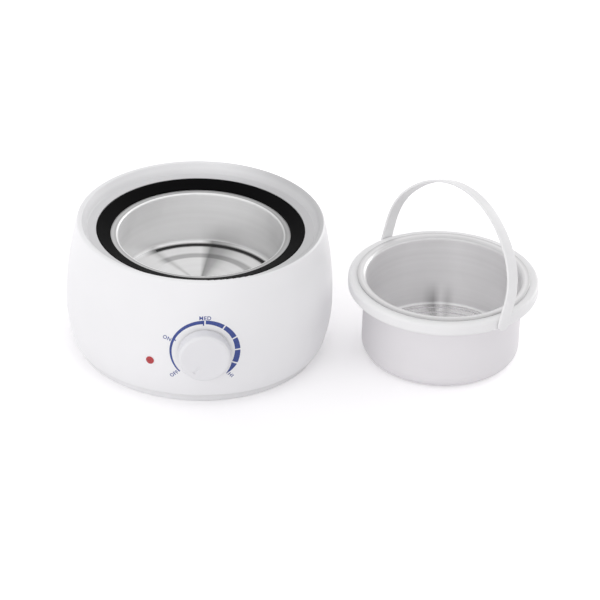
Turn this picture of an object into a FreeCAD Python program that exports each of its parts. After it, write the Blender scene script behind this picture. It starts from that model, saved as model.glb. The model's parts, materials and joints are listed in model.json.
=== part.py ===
import FreeCAD, Part
import math
import os
from types import SimpleNamespace

import Sketcher

# Candle wax melter: a round thermostat heater with a heated well, and the
# handled wax pot that is lifted out of it and stands beside it.
#
# Millimetres and degrees. +Z is up, the table is Z = 0 and the heater's axis is
# the Z axis. The knob faces -Y, the mains inlet faces +Y and the pot stands on
# the +X side.

DRIVING = {
    # wax pot
    "pot_radius": 56.3,
    "pot_wall": 1.2,
    "pot_height": 61.6,
    "pot_corner": 10.0,
    "pot_base": 5.6,
    "pot_base_corner": 2.0,
    "rim_width": 5.1,
    "rim_thick": 1.2,
    "rim_round": 2.9,
    "rim_edge_round": 0.48,
    "floor_ring_depth": 0.4,
    "floor_ring_width": 1.6,
    "inner_ring_radius": 42.0,
    "outer_ring_radius": 49.0,
    # collar and bail of the pot
    "collar_width": 11.4,
    "collar_height": 8.9,
    "collar_round": 2.2,
    "collar_ease": 0.1,
    "bail_width": 9.0,
    "bail_thick": 2.0,
    "bail_gap": 0.4,
    "bail_leg": 16.0,
    "bail_rise": 56.6,
    "bail_shoulder": 45.0,
    "bail_foot_flat": 0.2,
    "bail_azimuth": -58.1,
    "bail_lean": 14.7,
    "pin_radius": 1.5,
    "pin_length": 4.2,
    "pin_clearance": 0.08,
    "pin_bottom": 0.8,
    # where the pot stands: clear of the housing, a little to its front
    "stand_gap": 7.3,
    "stand_forward": 18.1,
    # heating well
    "well_clearance": 2.3,
    "well_depth": 41.1,
    "well_corner": 4.0,
    "bowl_wall": 1.2,
    "flange_width": 9.9,
    "flange_round": 1.1,
    "disc_radius": 36.0,
    "disc_step": 0.8,
    "boss_radius": 4.0,
    "boss_length": 5.0,
    "boss_floor": 0.8,
    "boss_spread": 8.0,
    "boss_beyond_disc": 9.0,
    # heat-resistant ring round the well
    "ring_inset": 5.1,
    "ring_width": 9.9,
    "ring_edge": 1.0,
    "ring_rise": 3.5,
    "ring_round": 0.6,
    "ring_gap": 0.3,
    "skirt_depth": 5.0,
    "skirt_thick": 2.1,
    "post_inset": 6.9,
    "post_radius": 2.7,
    "post_length": 7.0,
    "post_clearance": 0.3,
    # housing
    "recess_width": 6.5,
    "lip_slope": 3.8,
    "lip_width": 3.2,
    "lip_rise": 7.3,
    "lip_height": 97.3,
    "lip_outer_round": 1.9,
    "lip_inner_round": 1.5,
    "lip_roof": 4.0,
    "lip_wall": 1.7,
    "slope_wall": 2.3,
    "recess_round": 1.2,
    "recess_above_ring": 0.2,
    "side_bulge": 7.4,
    "foot_taper": 4.8,
    "belly_height": 37.0,
    "foot_height": 7.0,
    "foot_round": 1.0,
    "wall": 2.6,
    "ledge_width": 2.5,
    "column_radius": 3.6,
    "column_gap": 0.3,
    "shaft_hole_gap": 0.6,
    "lens_hole_gap": 0.1,
    "inlet_hole_gap": 0.2,
    "inlet_boss_radius": 3.4,
    "inlet_boss_length": 7.0,
    "inlet_boss_depth": 9.0,
    # base
    "base_inset": 4.0,
    "base_thick": 2.6,
    "base_lift": 2.0,
    "base_rim": 3.6,
    "base_chamfer": 1.0,
    "base_round": 0.8,
    "base_upstand": 10.5,
    "pad_radius": 7.0,
    "pad_sink": 0.6,
    "pad_from_rim": 4.0,
    "vent_width": 3.0,
    "vent_length": 20.0,
    "vent_radius": 42.0,
    # fasteners
    "base_screw_radius": 1.75,
    "base_screw_length": 12.0,
    "base_head_radius": 3.5,
    "base_head_height": 2.0,
    "base_head_sink": 1.2,
    "base_head_room": 0.5,
    "base_hole_gap": 0.3,
    "base_pilot_room": 2.0,
    "small_screw_radius": 1.25,
    "small_screw_length": 6.0,
    "small_head_radius": 2.25,
    "small_head_height": 1.6,
    "small_hole_gap": 0.2,
    "sheet_thick": 1.0,
    "clip_width": 8.0,
    "clip_from_bowl": 1.2,
    "clip_from_skirt": 0.5,
    # band heater and its wrap
    "band_thick": 2.4,
    "band_height": 26.0,
    "band_drop": 9.7,
    "band_gap": 8.0,
    "ear_length": 10.0,
    "ear_thick": 1.2,
    "ear_height": 12.0,
    "ear_sink": 1.2,
    "ear_hole_radius": 2.1,
    "bolt_radius": 2.0,
    "bolt_head_radius": 3.5,
    "bolt_head_height": 2.4,
    "bolt_past_ear": 5.0,
    "nut_radius": 3.5,
    "nut_height": 3.2,
    "wrap_thick": 2.0,
    "wrap_height": 18.0,
    "wrap_drop": 1.5,
    "wrap_gap": 28.0,
    "terminal_turn": 32.0,
    "terminal_below": 7.0,
    "terminal_length": 11.0,
    # thermostat, shaft and knob
    "knob_rise": 6.8,
    "stack_width": 18.0,
    "stack_height": 19.0,
    "stack_depth": 14.0,
    "strip_gap": 0.3,
    "strip_width": 18.0,
    "strip_below_rivet": 2.2,
    "strip_below_top": 1.0,
    "bracket_width": 24.0,
    "bracket_foot": 6.0,
    "rivet_radius": 1.2,
    "rivet_head_radius": 2.2,
    "rivet_head_height": 0.8,
    "rivet_spread": 6.4,
    "rivet_drop": 4.0,
    "rivet_depth": 4.0,
    "bush_radius": 5.0,
    "bush_length": 6.6,
    "shaft_radius": 3.0,
    "shaft_clearance": 0.06,
    "shaft_flat": 1.5,
    "shaft_inset": 6.0,
    "shaft_back_gap": 0.4,
    "shaft_end": 3.4,
    "knob_gap": 0.7,
    "knob_radius": 18.4,
    "knob_taper": 0.5,
    "knob_length": 8.8,
    "knob_round": 2.2,
    "knob_wall": 2.2,
    "knob_boss_inset": 0.4,
    "pointer_start": 11.2,
    "pointer_end": 5.1,
    "pointer_width": 2.0,
    "pointer_depth": 0.5,
    "pointer_azimuth": 236.0,
    # pilot light
    "pilot_azimuth": -23.1,
    "pilot_height": 34.8,
    "lens_radius": 2.6,
    "lens_head": 2.9,
    "lens_proud": 0.9,
    "lens_stem": 8.8,
    "lens_clip_radius": 4.6,
    "lens_clip_thick": 1.2,
    "lens_clip_gap": 0.5,
    "lamp_length": 12.0,
    "lamp_sleeve_wall": 0.6,
    "lamp_sleeve_length": 10.5,
    "lamp_sleeve_lap": 7.0,
    # mains inlet
    "inlet_height": 36.0,
    "inlet_half_width": 10.2,
    "inlet_half_height": 6.4,
    "inlet_depth": 17.0,
    "inlet_flange_half_width": 16.5,
    "inlet_flange_half_height": 8.0,
    "inlet_flange_thick": 2.2,
    "socket_half_pitch": 3.3,
    "socket_radius": 4.2,
    "socket_depth": 12.0,
    "contact_half_pitch": 4.3,
    "contact_radius": 1.2,
    "contact_tail": 5.0,
    "inlet_head_radius": 2.375,
    "inlet_head_height": 1.4,
    "inlet_screw_length": 10.0,
    # wiring
    "lead_radius": 0.9,
    "tab_width": 6.3,
    "tab_thick": 0.8,
    "tab_length": 13.0,
    "tab_drop": 2.0,
    "fuse_row": 26.0,
    "fuse_radius": 2.0,
    "fuse_length": 12.0,
    "fuse_wire_radius": 0.5,
    "fuse_wire_past": 1.0,
    "clip_screw_row": 14.0,
    "clip_end_row": 18.0,
    "clip_hook": 3.0,
    "clip_front_gap": 1.4,
    "clip_back_gap": 1.6,
    "sleeve_radius": 2.8,
    "sleeve_length": 34.0,
    # recesses in the screw heads
    "cross_reach": 1.7,
    "cross_half": 0.45,
    "cross_depth": 1.2,
    "small_cross_reach": 1.3,
    "small_cross_half": 0.35,
    "small_cross_depth": 0.8,
}

FIT = 0.05
# how far a cut runs past the face that it starts or ends at
PAST = 1.0
# how many of each stand round the heater's axis
COLUMNS = 4
PADS = 4
POSTS = 4
VENTS = 12
# the bail has a pivot on each side of the pot
PIVOTS = 2


class Size:
    """A number together with the spreadsheet formula that yields it."""

    def __init__(self, value, text):
        self.value = float(value)
        self.text = text

    def __add__(self, other):
        return Size(self.value + number(other), f"({self.text} + {formula(other)})")

    def __sub__(self, other):
        return Size(self.value - number(other), f"({self.text} - {formula(other)})")

    def __mul__(self, other):
        return Size(self.value * number(other), f"{self.text} * {formula(other)}")

    def __truediv__(self, other):
        return Size(self.value / number(other), f"{self.text} / ({formula(other)})")

    def __neg__(self):
        return Size(-self.value, f"(0 - {self.text})")

    def __radd__(self, other):
        return Size(other, str(other)) + self

    def __rsub__(self, other):
        return Size(other, str(other)) - self

    def __rmul__(self, other):
        return Size(other, str(other)) * self


def number(size):
    """The plain value of a Size or of a number."""
    return size.value if isinstance(size, Size) else float(size)


def formula(size):
    """The sheet formula of a Size, or a number as text."""
    return size.text if isinstance(size, Size) else repr(float(size))


def cosine(degrees):
    return Size(math.cos(math.radians(number(degrees))), f"cos({formula(degrees)})")


def sine(degrees):
    return Size(math.sin(math.radians(number(degrees))), f"sin({formula(degrees)})")


def root(size):
    return Size(math.sqrt(number(size)), f"sqrt({formula(size)})")


def bind(thing, name, size):
    """Set a property from the sheet, or directly when it is a plain number."""
    if isinstance(size, Size):
        thing.setExpression(name, size.text)
    elif "." in name:
        thing.setExpression(name, formula(size))
    else:
        setattr(thing, name, size)


# ---------------------------------------------------------------- sheet


def make_sheet(doc):
    """Write the driving dimensions and give each cell its alias."""
    sheet = doc.addObject("Spreadsheet::Sheet", "Sizes")
    for row, (name, value) in enumerate(DRIVING.items(), start=1):
        sheet.set(f"A{row}", name)
        sheet.set(f"B{row}", str(value))
        sheet.setAlias(f"B{row}", name)
    doc.recompute()
    return sheet


def read_sizes():
    """The driving sizes, and every size and place that follows from them."""
    d = SimpleNamespace(**{name: Size(value, f"Sizes.{name}") for name, value in DRIVING.items()})

    # pot
    d.rim_radius = d.pot_radius + d.rim_width
    d.pot_inside = d.pot_radius - d.pot_wall
    d.rim_under = d.pot_height - d.rim_thick
    d.collar_radius = d.pot_radius + d.collar_width
    d.collar_bottom = d.rim_under - d.collar_height
    d.pivot_height = d.collar_bottom + d.collar_height / 2
    d.bail_inside = d.collar_radius + d.bail_gap
    d.bail_outside = d.bail_inside + d.bail_thick
    d.rim_fold = d.rim_round - d.pot_wall

    # well, ring and housing, from the pot outwards
    d.well_radius = d.pot_radius + d.well_clearance
    d.bowl_outside = d.well_radius + d.bowl_wall
    d.flange_radius = d.well_radius + d.flange_width
    d.ring_inside = d.well_radius + d.ring_inset
    d.ring_outside = d.ring_inside + d.ring_width
    d.seat_radius = d.ring_outside + d.ring_gap
    d.ledge_inside = d.seat_radius - d.ledge_width
    d.recess_radius = d.seat_radius + d.recess_width
    d.lip_inside = d.recess_radius + d.lip_slope
    d.lip_outside = d.lip_inside + d.lip_width
    d.belly_radius = d.lip_outside + d.side_bulge
    d.foot_radius = d.belly_radius - d.foot_taper
    d.recess_height = d.lip_height - d.lip_rise
    d.seat_height = d.recess_height - (d.ring_rise + d.ring_edge) + d.recess_above_ring
    d.skirt_outside = d.ledge_inside - d.ring_gap
    d.skirt_inside = d.skirt_outside - d.skirt_thick
    d.post_ring = d.ring_outside - d.post_inset
    d.post_end = d.seat_height - d.post_length
    d.flange_under = d.seat_height - d.bowl_wall
    d.well_floor = d.seat_height - d.well_depth
    d.bowl_bottom = d.well_floor - d.bowl_wall
    d.boss_end = d.bowl_bottom - d.boss_length

    # base
    d.base_radius = d.foot_radius - d.base_inset
    d.base_top = d.base_lift + d.base_thick
    d.column_ring = d.base_radius - d.wall - d.column_gap - d.column_radius
    d.column_top = d.recess_height - d.wall + PAST
    d.column_x, d.column_y = d.column_ring * cosine(45), d.column_ring * sine(45)
    d.pad_ring = d.base_radius - d.base_rim - d.pad_radius - d.pad_from_rim
    d.screw_seat = d.base_lift + d.base_head_sink

    # heater
    d.band_radius = d.bowl_outside + d.band_thick
    d.band_top = d.seat_height - d.band_drop
    d.band_bottom = d.band_top - d.band_height
    d.wrap_radius = d.band_radius + d.wrap_thick
    d.ear_middle = d.band_radius + (d.ear_length + d.ear_thick) / 2
    d.ear_face = d.band_gap / 2 + d.ear_thick
    d.band_middle = (d.band_top + d.band_bottom) / 2
    d.terminal_low = d.band_bottom - d.terminal_below

    # thermostat: it hangs on the bowl's bosses, and lengths are counted
    # outwards along the shaft from the heater's axis
    d.plate_height = d.boss_end - d.sheet_thick
    d.boss_row = d.disc_radius + d.boss_beyond_disc
    d.knob_height = d.boss_end + d.knob_rise
    d.rivet_height = d.knob_height - d.rivet_drop
    d.tab_top = d.knob_height - d.tab_drop
    d.tab_bottom = d.tab_top - d.tab_length
    d.strip_start = d.wrap_radius + d.strip_gap
    d.leg_start = d.strip_start + d.tab_thick
    d.stack_start = d.leg_start + d.sheet_thick
    d.stack_end = d.stack_start + d.stack_depth
    d.shaft_start = d.stack_start + d.shaft_inset
    d.knob_back = d.belly_radius + d.knob_gap
    d.knob_front = d.knob_back + d.knob_length
    d.shaft_tip = d.knob_front - d.shaft_end

    # inlet
    d.inlet_front = d.belly_radius + d.inlet_flange_thick
    d.inlet_rear = d.belly_radius - d.inlet_depth
    d.contact_end = d.inlet_rear - d.contact_tail
    d.inlet_screw_x = (d.inlet_half_width + d.inlet_flange_half_width) / 2
    d.fuse_height = d.bowl_bottom - d.sleeve_radius

    # where the pot stands, and the pilot light's parts from the lens inwards
    d.pot_away = d.belly_radius + d.stand_gap + d.bail_outside
    d.lens_seat = d.belly_radius + FIT
    d.lamp_front = d.lens_seat - d.lens_stem
    return d


# ---------------------------------------------------------------- sketches


PLANE_XY, PLANE_XZ, PLANE_YZ = "XY_Plane", "XZ_Plane", "YZ_Plane"


def origin_feature(body, role):
    """The plane or axis of the body's own origin that plays this role."""
    return next(item for item in body.Origin.OriginFeatures if item.Role == role)


class Drawing:
    """A sketch on an origin plane, dimensioned from the sheet.

    lift moves it along the plane's normal. turn first swings the plane about
    its own upright, which is the heater's axis for the XZ plane.
    """

    def __init__(self, body, plane, lift=0.0, turn=0.0):
        self.sketch = body.newObject("Sketcher::SketchObject", f"{body.Name}_sketch")
        self.sketch.AttachmentSupport = (origin_feature(body, plane), [""])
        self.sketch.MapMode = "FlatFace"
        if number(turn):
            self.swing(FreeCAD.Vector(0, 1, 0), turn)
        if number(lift):
            bind(self.sketch, "AttachmentOffset.Base.x", lift * sine(turn))
            bind(self.sketch, "AttachmentOffset.Base.z", lift * cosine(turn))

    def swing(self, axis, turn):
        """Turn the sketch about an axis of its plane, by an angle from the sheet."""
        base = self.sketch.AttachmentOffset.Base
        self.sketch.AttachmentOffset = FreeCAD.Placement(base, FreeCAD.Rotation(axis, number(turn)))
        bind(self.sketch, "AttachmentOffset.Rotation.Angle", turn)
        return self

    def raised(self, height):
        """Set the sketch's origin this far up its plane, which swing may have leaned."""
        bind(self.sketch, "AttachmentOffset.Base.y", height)
        return self

    def fix(self, element, point, x, y):
        """Hold a point of an element at (x, y) from the sketch's origin."""
        for size, kind, axis in ((x, "DistanceX", -2), (y, "DistanceY", -1)):
            if number(size) == 0.0:
                self.sketch.addConstraint(Sketcher.Constraint("PointOnObject", element, point, axis))
                continue
            index = self.sketch.addConstraint(
                Sketcher.Constraint(kind, -1, 1, element, point, number(size)))
            if isinstance(size, Size):
                self.sketch.setExpression(f"Constraints[{index}]", size.text)

    def circle(self, x, y, radius):
        centre = FreeCAD.Vector(number(x), number(y), 0)
        ring = self.sketch.addGeometry(Part.Circle(centre, FreeCAD.Vector(0, 0, 1), number(radius)))
        self.fix(ring, 3, x, y)
        index = self.sketch.addConstraint(Sketcher.Constraint("Radius", ring, number(radius)))
        if isinstance(radius, Size):
            self.sketch.setExpression(f"Constraints[{index}]", radius.text)
        return self

    def outline(self, corners, arcs=None):
        """A closed outline; arcs maps an edge's number to its centre's height and side.

        The side is +1 where the arc bulges towards +X of its chord and -1 where
        it bulges towards -X.
        """
        arcs = arcs or {}
        spots = [FreeCAD.Vector(number(x), number(y), 0) for x, y in corners]
        edges = []
        for index, start in enumerate(spots):
            end = spots[(index + 1) % len(spots)]
            if index in arcs:
                edges.append(self._arc(start, end, *arcs[index]))
            else:
                edges.append((self.sketch.addGeometry(Part.LineSegment(start, end)), 1, 2))
        for index, (element, first, last) in enumerate(edges):
            after = edges[(index + 1) % len(edges)]
            self.sketch.addConstraint(
                Sketcher.Constraint("Coincident", element, last, after[0], after[1]))
            self.fix(element, first, *corners[index])
        return self

    def _arc(self, start, end, height, side):
        """An arc from start to end whose centre lies at this height."""
        level = number(height)
        rise_start, rise_end = start.y - level, end.y - level
        if abs(start.x - end.x) < 1e-9:
            raise ValueError("an upright chord needs a centre of its own")
        middle = ((start.x ** 2 - end.x ** 2) + (rise_start ** 2 - rise_end ** 2))
        middle = middle / (2 * (start.x - end.x))
        radius = math.hypot(start.x - middle, rise_start)
        low, high = sorted((start.y, end.y))
        via_y = (low + high) / 2
        reach = math.sqrt(max(radius ** 2 - (via_y - level) ** 2, 0.0))
        via = FreeCAD.Vector(middle + side * reach, via_y, 0)
        if abs(start.y - end.y) < 1e-9:
            via = FreeCAD.Vector(middle, level + side * radius, 0)
        turn = 2 * math.pi
        first, passed, last = (math.atan2(spot.y - level, spot.x - middle) % turn
                               for spot in (start, via, end))
        forward = (passed - first) % turn < (last - first) % turn
        low_angle, high_angle = (first, last) if forward else (last, first)
        circle = Part.Circle(FreeCAD.Vector(middle, level, 0), FreeCAD.Vector(0, 0, 1), radius)
        high_angle = low_angle + (high_angle - low_angle) % turn
        element = self.sketch.addGeometry(Part.ArcOfCircle(circle, low_angle, high_angle))
        self._level(element, height)
        return (element, 1, 2) if forward else (element, 2, 1)

    def _level(self, element, height):
        if number(height) == 0.0:
            self.sketch.addConstraint(Sketcher.Constraint("PointOnObject", element, 3, -1))
            return
        index = self.sketch.addConstraint(
            Sketcher.Constraint("DistanceY", -1, 1, element, 3, number(height)))
        if isinstance(height, Size):
            self.sketch.setExpression(f"Constraints[{index}]", height.text)

    def box(self, left, low, right, high):
        return self.outline([(left, low), (right, low), (right, high), (left, high)])

    def cross(self, x, y, reach, half):
        """The outline of a cross recess round (x, y)."""
        ways = [(reach, -half), (reach, half), (half, half), (half, reach), (-half, reach),
                (-half, half), (-reach, half), (-reach, -half), (-half, -half),
                (-half, -reach), (half, -reach), (half, -half)]
        return self.outline([(x + across, y + up) for across, up in ways])


# ---------------------------------------------------------------- features


def new_body(doc, label):
    body = doc.addObject("PartDesign::Body", label)
    body.Label = label
    body.AllowCompound = True
    return body


def set_place(body, x=0.0, y=0.0, z=0.0, axis=(0, 0, 1), angle=0.0):
    """Give a body its place, with the moving values bound to the sheet."""
    body.Placement = FreeCAD.Placement(
        FreeCAD.Vector(number(x), number(y), number(z)),
        FreeCAD.Rotation(FreeCAD.Vector(*axis), number(angle)))
    for name, size in (("Base.x", x), ("Base.y", y), ("Base.z", z), ("Rotation.Angle", angle)):
        if isinstance(size, Size):
            body.setExpression(f"Placement.{name}", size.text)


def spin(body, drawing, cut=False):
    """Revolve a half section about the Z axis, as material or as a groove."""
    kind = "Groove" if cut else "Revolution"
    feature = body.newObject(f"PartDesign::{kind}", f"{body.Name}_{kind.lower()}")
    feature.Profile = drawing.sketch
    feature.ReferenceAxis = (drawing.sketch, ["V_Axis"])
    feature.Angle = 360.0
    body.Document.recompute()
    return feature


def push(body, drawing, length, cut=False, middle=False, back=False):
    """Pad a sketch, or pocket it, over a length."""
    kind = "Pocket" if cut else "Pad"
    feature = body.newObject(f"PartDesign::{kind}", f"{body.Name}_{kind.lower()}")
    feature.Profile = drawing.sketch
    bind(feature, "Length", length)
    if middle:
        feature.SideType = "Symmetric"
    feature.Reversed = back
    body.Document.recompute()
    return feature


def repeat(body, features, count):
    """Repeat features evenly round the Z axis."""
    pattern = body.newObject("PartDesign::PolarPattern", f"{body.Name}_pattern")
    pattern.Originals = features
    pattern.Axis = (origin_feature(body, "Z_Axis"), [""])
    pattern.Angle = 360.0
    pattern.Occurrences = count
    body.Tip = pattern
    body.Document.recompute()
    return pattern


def soften(body, radius, chosen):
    """Fillet the edges of the body's tip that the test picks."""
    tip = body.Tip
    names = [f"Edge{i}" for i, edge in enumerate(tip.Shape.Edges, start=1) if chosen(edge)]
    if not names:
        raise ValueError(f"{body.Label}: no edge to round")
    fillet = body.newObject("PartDesign::Fillet", f"{body.Name}_fillet")
    fillet.Base = (tip, names)
    bind(fillet, "Radius", radius)
    body.Document.recompute()
    return fillet


def hoop(radius, height):
    """Picks the full or broken circles of this radius at this height about Z."""
    def test(edge):
        curve = edge.Curve
        return (isinstance(curve, Part.Circle)
                and abs(curve.Radius - number(radius)) < 0.01
                and abs(curve.Center.z - number(height)) < 0.01
                and math.hypot(curve.Center.x, curve.Center.y) < 0.01)
    return test


# ---------------------------------------------------------------- housing and base


def make_housing(doc, d):
    body = new_body(doc, "housing")
    under = d.recess_height - d.wall
    hollow_top = d.lip_height - d.lip_roof
    corners = [
        (d.foot_radius, d.foot_height),
        (d.belly_radius, d.belly_height),
        (d.lip_outside, d.lip_height),
        (d.lip_inside, d.lip_height),
        (d.recess_radius, d.recess_height),
        (d.seat_radius, d.recess_height),
        (d.seat_radius, d.seat_height),
        (d.ledge_inside, d.seat_height),
        (d.ledge_inside, d.seat_height - d.wall),
        (d.seat_radius + d.wall, d.seat_height - d.wall),
        (d.seat_radius + d.wall, under),
        (d.recess_radius + d.slope_wall, under),
        (d.lip_outside - d.lip_wall, hollow_top),
        (d.belly_radius - d.wall, d.belly_height),
        (d.foot_radius - d.wall, d.foot_height),
    ]
    level = (d.belly_height, 1)
    drawing = Drawing(body, PLANE_XZ).outline(corners, {0: level, 1: level, 12: level, 13: level})
    spin(body, drawing)
    soften(body, d.lip_outer_round, hoop(d.lip_outside, d.lip_height))
    soften(body, d.lip_inner_round, hoop(d.lip_inside, d.lip_height))
    soften(body, d.recess_round, hoop(d.recess_radius, d.recess_height))
    soften(body, d.foot_round, hoop(d.foot_radius, d.foot_height))

    # columns that take the base screws
    x, y = d.column_x, d.column_y
    column = push(body, Drawing(body, PLANE_XY, d.base_top).circle(x, y, d.column_radius),
                  d.column_top - d.base_top)
    bore = push(body, Drawing(body, PLANE_XY, d.base_top).circle(x, y, d.base_screw_radius),
                d.base_screw_length + d.base_pilot_room, cut=True, back=True)
    repeat(body, [column, bore], COLUMNS)

    # bosses behind the wall for the inlet's screws
    bosses = Drawing(body, PLANE_XZ, d.belly_radius - d.inlet_boss_depth, 180.0)
    for side in (-1, 1):
        bosses.circle(d.inlet_screw_x * side, d.inlet_height, d.inlet_boss_radius)
    push(body, bosses, d.inlet_boss_length)

    # openings for the shaft, the pilot lens, the inlet and its screws
    outside = d.belly_radius + PAST
    through = d.wall + d.side_bulge + PAST
    shaft = Drawing(body, PLANE_XZ, outside)
    push(body, shaft.circle(0.0, d.knob_height, d.shaft_radius + d.shaft_hole_gap),
         through, cut=True)
    lens = Drawing(body, PLANE_XZ, outside, d.pilot_azimuth)
    push(body, lens.circle(0.0, d.pilot_height, d.lens_radius + d.lens_hole_gap),
         through, cut=True)
    half_width = d.inlet_half_width + d.inlet_hole_gap
    half_height = d.inlet_half_height + d.inlet_hole_gap
    inlet = Drawing(body, PLANE_XZ, outside, 180.0)
    inlet.box(-half_width, d.inlet_height - half_height, half_width, d.inlet_height + half_height)
    push(body, inlet, d.inlet_boss_depth + PAST * 2, cut=True)
    holes = Drawing(body, PLANE_XZ, outside, 180.0)
    for side in (-1, 1):
        holes.circle(d.inlet_screw_x * side, d.inlet_height, d.small_screw_radius)
    push(body, holes, d.inlet_boss_depth + PAST * 2, cut=True)
    return body


def make_base(doc, d):
    body = new_body(doc, "base_plate")
    rim_inside = d.base_radius - d.base_rim
    corners = [
        (0.0, d.base_lift),
        (rim_inside - d.base_chamfer, d.base_lift),
        (rim_inside, 0.0),
        (d.base_radius, 0.0),
        (d.base_radius, d.base_upstand),
        (d.base_radius - d.wall, d.base_upstand),
        (d.base_radius - d.wall, d.base_top),
        (0.0, d.base_top),
    ]
    spin(body, Drawing(body, PLANE_XZ).outline(corners))
    soften(body, d.base_round, hoop(d.base_radius, 0.0))
    x, y = d.column_x, d.column_y
    hole = push(body, Drawing(body, PLANE_XY).circle(x, y, d.base_screw_radius + d.base_hole_gap),
                d.base_top + PAST, cut=True, back=True)
    counterbore = Drawing(body, PLANE_XY).circle(x, y, d.base_head_radius + d.base_head_room)
    sink = push(body, counterbore, d.screw_seat, cut=True, back=True)
    repeat(body, [hole, sink], COLUMNS)
    seat = push(body, Drawing(body, PLANE_XY).circle(d.pad_ring, 0.0, d.pad_radius + FIT),
                d.base_lift + d.pad_sink, cut=True, back=True)
    repeat(body, [seat], PADS)
    vent = Drawing(body, PLANE_XY)
    half = d.vent_length / 2
    vent.box(d.vent_radius - half, -d.vent_width / 2, d.vent_radius + half, d.vent_width / 2)
    slot = push(body, vent, d.base_top + PAST, cut=True, back=True)
    repeat(body, [slot], VENTS)
    return body


def make_base_screws(doc, d):
    body = new_body(doc, "base_screws")
    x, y = d.column_x, d.column_y
    foot = d.screw_seat - d.base_head_height
    head = push(body, Drawing(body, PLANE_XY, foot).circle(x, y, d.base_head_radius),
                d.base_head_height)
    shank = push(body, Drawing(body, PLANE_XY, d.screw_seat).circle(x, y, d.base_screw_radius),
                 d.base_screw_length)
    recess = push(body, Drawing(body, PLANE_XY, foot).cross(x, y, d.cross_reach, d.cross_half),
                  d.cross_depth, cut=True, back=True)
    repeat(body, [head, shank, recess], COLUMNS)
    return body


def make_rubber_pads(doc, d):
    body = new_body(doc, "rubber_pads")
    pad = push(body, Drawing(body, PLANE_XY).circle(d.pad_ring, 0.0, d.pad_radius),
               d.base_lift + d.pad_sink)
    repeat(body, [pad], PADS)
    return body


# ---------------------------------------------------------------- well


def make_heat_ring(doc, d):
    body = new_body(doc, "heat_ring")
    top = d.seat_height + d.ring_edge
    corners = [
        (d.ring_inside, d.seat_height),
        (d.skirt_inside, d.seat_height),
        (d.skirt_inside, d.seat_height - d.skirt_depth),
        (d.skirt_outside, d.seat_height - d.skirt_depth),
        (d.skirt_outside, d.seat_height),
        (d.ring_outside, d.seat_height),
        (d.ring_outside, top + d.ring_rise),
        (d.ring_inside, top),
    ]
    spin(body, Drawing(body, PLANE_XZ).outline(corners))
    soften(body, d.ring_round, hoop(d.ring_outside, top + d.ring_rise))
    post = push(body, Drawing(body, PLANE_XY, d.post_end).circle(d.post_ring, 0.0, d.post_radius),
                d.post_length + d.ring_edge / 2)
    bore = push(body, Drawing(body, PLANE_XY, d.post_end)
                .circle(d.post_ring, 0.0, d.small_screw_radius),
                d.small_screw_length, cut=True, back=True)
    repeat(body, [post, bore], POSTS)
    return body


def make_heating_bowl(doc, d):
    body = new_body(doc, "heating_bowl")
    step = d.disc_step
    disc = d.disc_radius
    corners = [
        (0.0, d.well_floor + step),
        (disc, d.well_floor + step),
        (disc + step, d.well_floor),
        (d.well_radius, d.well_floor),
        (d.well_radius, d.seat_height),
        (d.flange_radius, d.seat_height),
        (d.flange_radius, d.flange_under),
        (d.bowl_outside, d.flange_under),
        (d.bowl_outside, d.bowl_bottom),
        (disc + step, d.bowl_bottom),
        (disc, d.bowl_bottom + step),
        (0.0, d.bowl_bottom + step),
    ]
    spin(body, Drawing(body, PLANE_XZ).outline(corners))
    soften(body, d.well_corner, hoop(d.well_radius, d.well_floor))
    soften(body, d.well_corner + d.bowl_wall, hoop(d.bowl_outside, d.bowl_bottom))
    soften(body, d.flange_round, hoop(d.well_radius, d.seat_height))
    notch = push(body, Drawing(body, PLANE_XY, d.seat_height + PAST)
                 .circle(d.post_ring, 0.0, d.post_radius + d.post_clearance),
                 d.bowl_wall + PAST * 2, cut=True)
    repeat(body, [notch], POSTS)
    bosses = Drawing(body, PLANE_XY, d.boss_end)
    bores = Drawing(body, PLANE_XY, d.boss_end)
    for x, y in boss_places(d):
        bosses.circle(x, y, d.boss_radius)
        bores.circle(x, y, d.small_screw_radius)
    push(body, bosses, d.boss_length)
    push(body, bores, d.boss_length - d.boss_floor, cut=True, back=True)
    return body


def boss_places(d):
    """Screw bosses under the bowl: two for the thermostat, one for the fuse clip."""
    return [(-d.boss_spread, -d.boss_row), (d.boss_spread, -d.boss_row),
            (0.0, d.fuse_row + d.clip_screw_row)]


def make_bowl_clips(doc, d):
    body = new_body(doc, "bowl_clips")
    inner = d.bowl_outside + d.clip_from_bowl
    outer = d.skirt_inside - d.clip_from_skirt
    bottom = d.post_end - d.sheet_thick
    corners = [(inner, bottom), (outer, bottom), (outer, d.post_end),
               (inner + d.sheet_thick, d.post_end), (inner + d.sheet_thick, d.flange_under),
               (inner, d.flange_under)]
    strip = push(body, Drawing(body, PLANE_XZ).outline(corners), d.clip_width, middle=True)
    hole = push(body, Drawing(body, PLANE_XY, bottom - PAST)
                .circle(d.post_ring, 0.0, d.small_screw_radius + d.small_hole_gap),
                d.sheet_thick + PAST * 2, cut=True, back=True)
    repeat(body, [strip, hole], POSTS)
    return body


def make_clip_screws(doc, d):
    body = new_body(doc, "clip_screws")
    seat = d.post_end - d.sheet_thick
    head = push(body, Drawing(body, PLANE_XY, seat - d.small_head_height)
                .circle(d.post_ring, 0.0, d.small_head_radius), d.small_head_height)
    shank = push(body, Drawing(body, PLANE_XY, seat).circle(d.post_ring, 0.0, d.small_screw_radius),
                 d.small_screw_length)
    repeat(body, [head, shank], POSTS)
    return body


# ---------------------------------------------------------------- band heater


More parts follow.
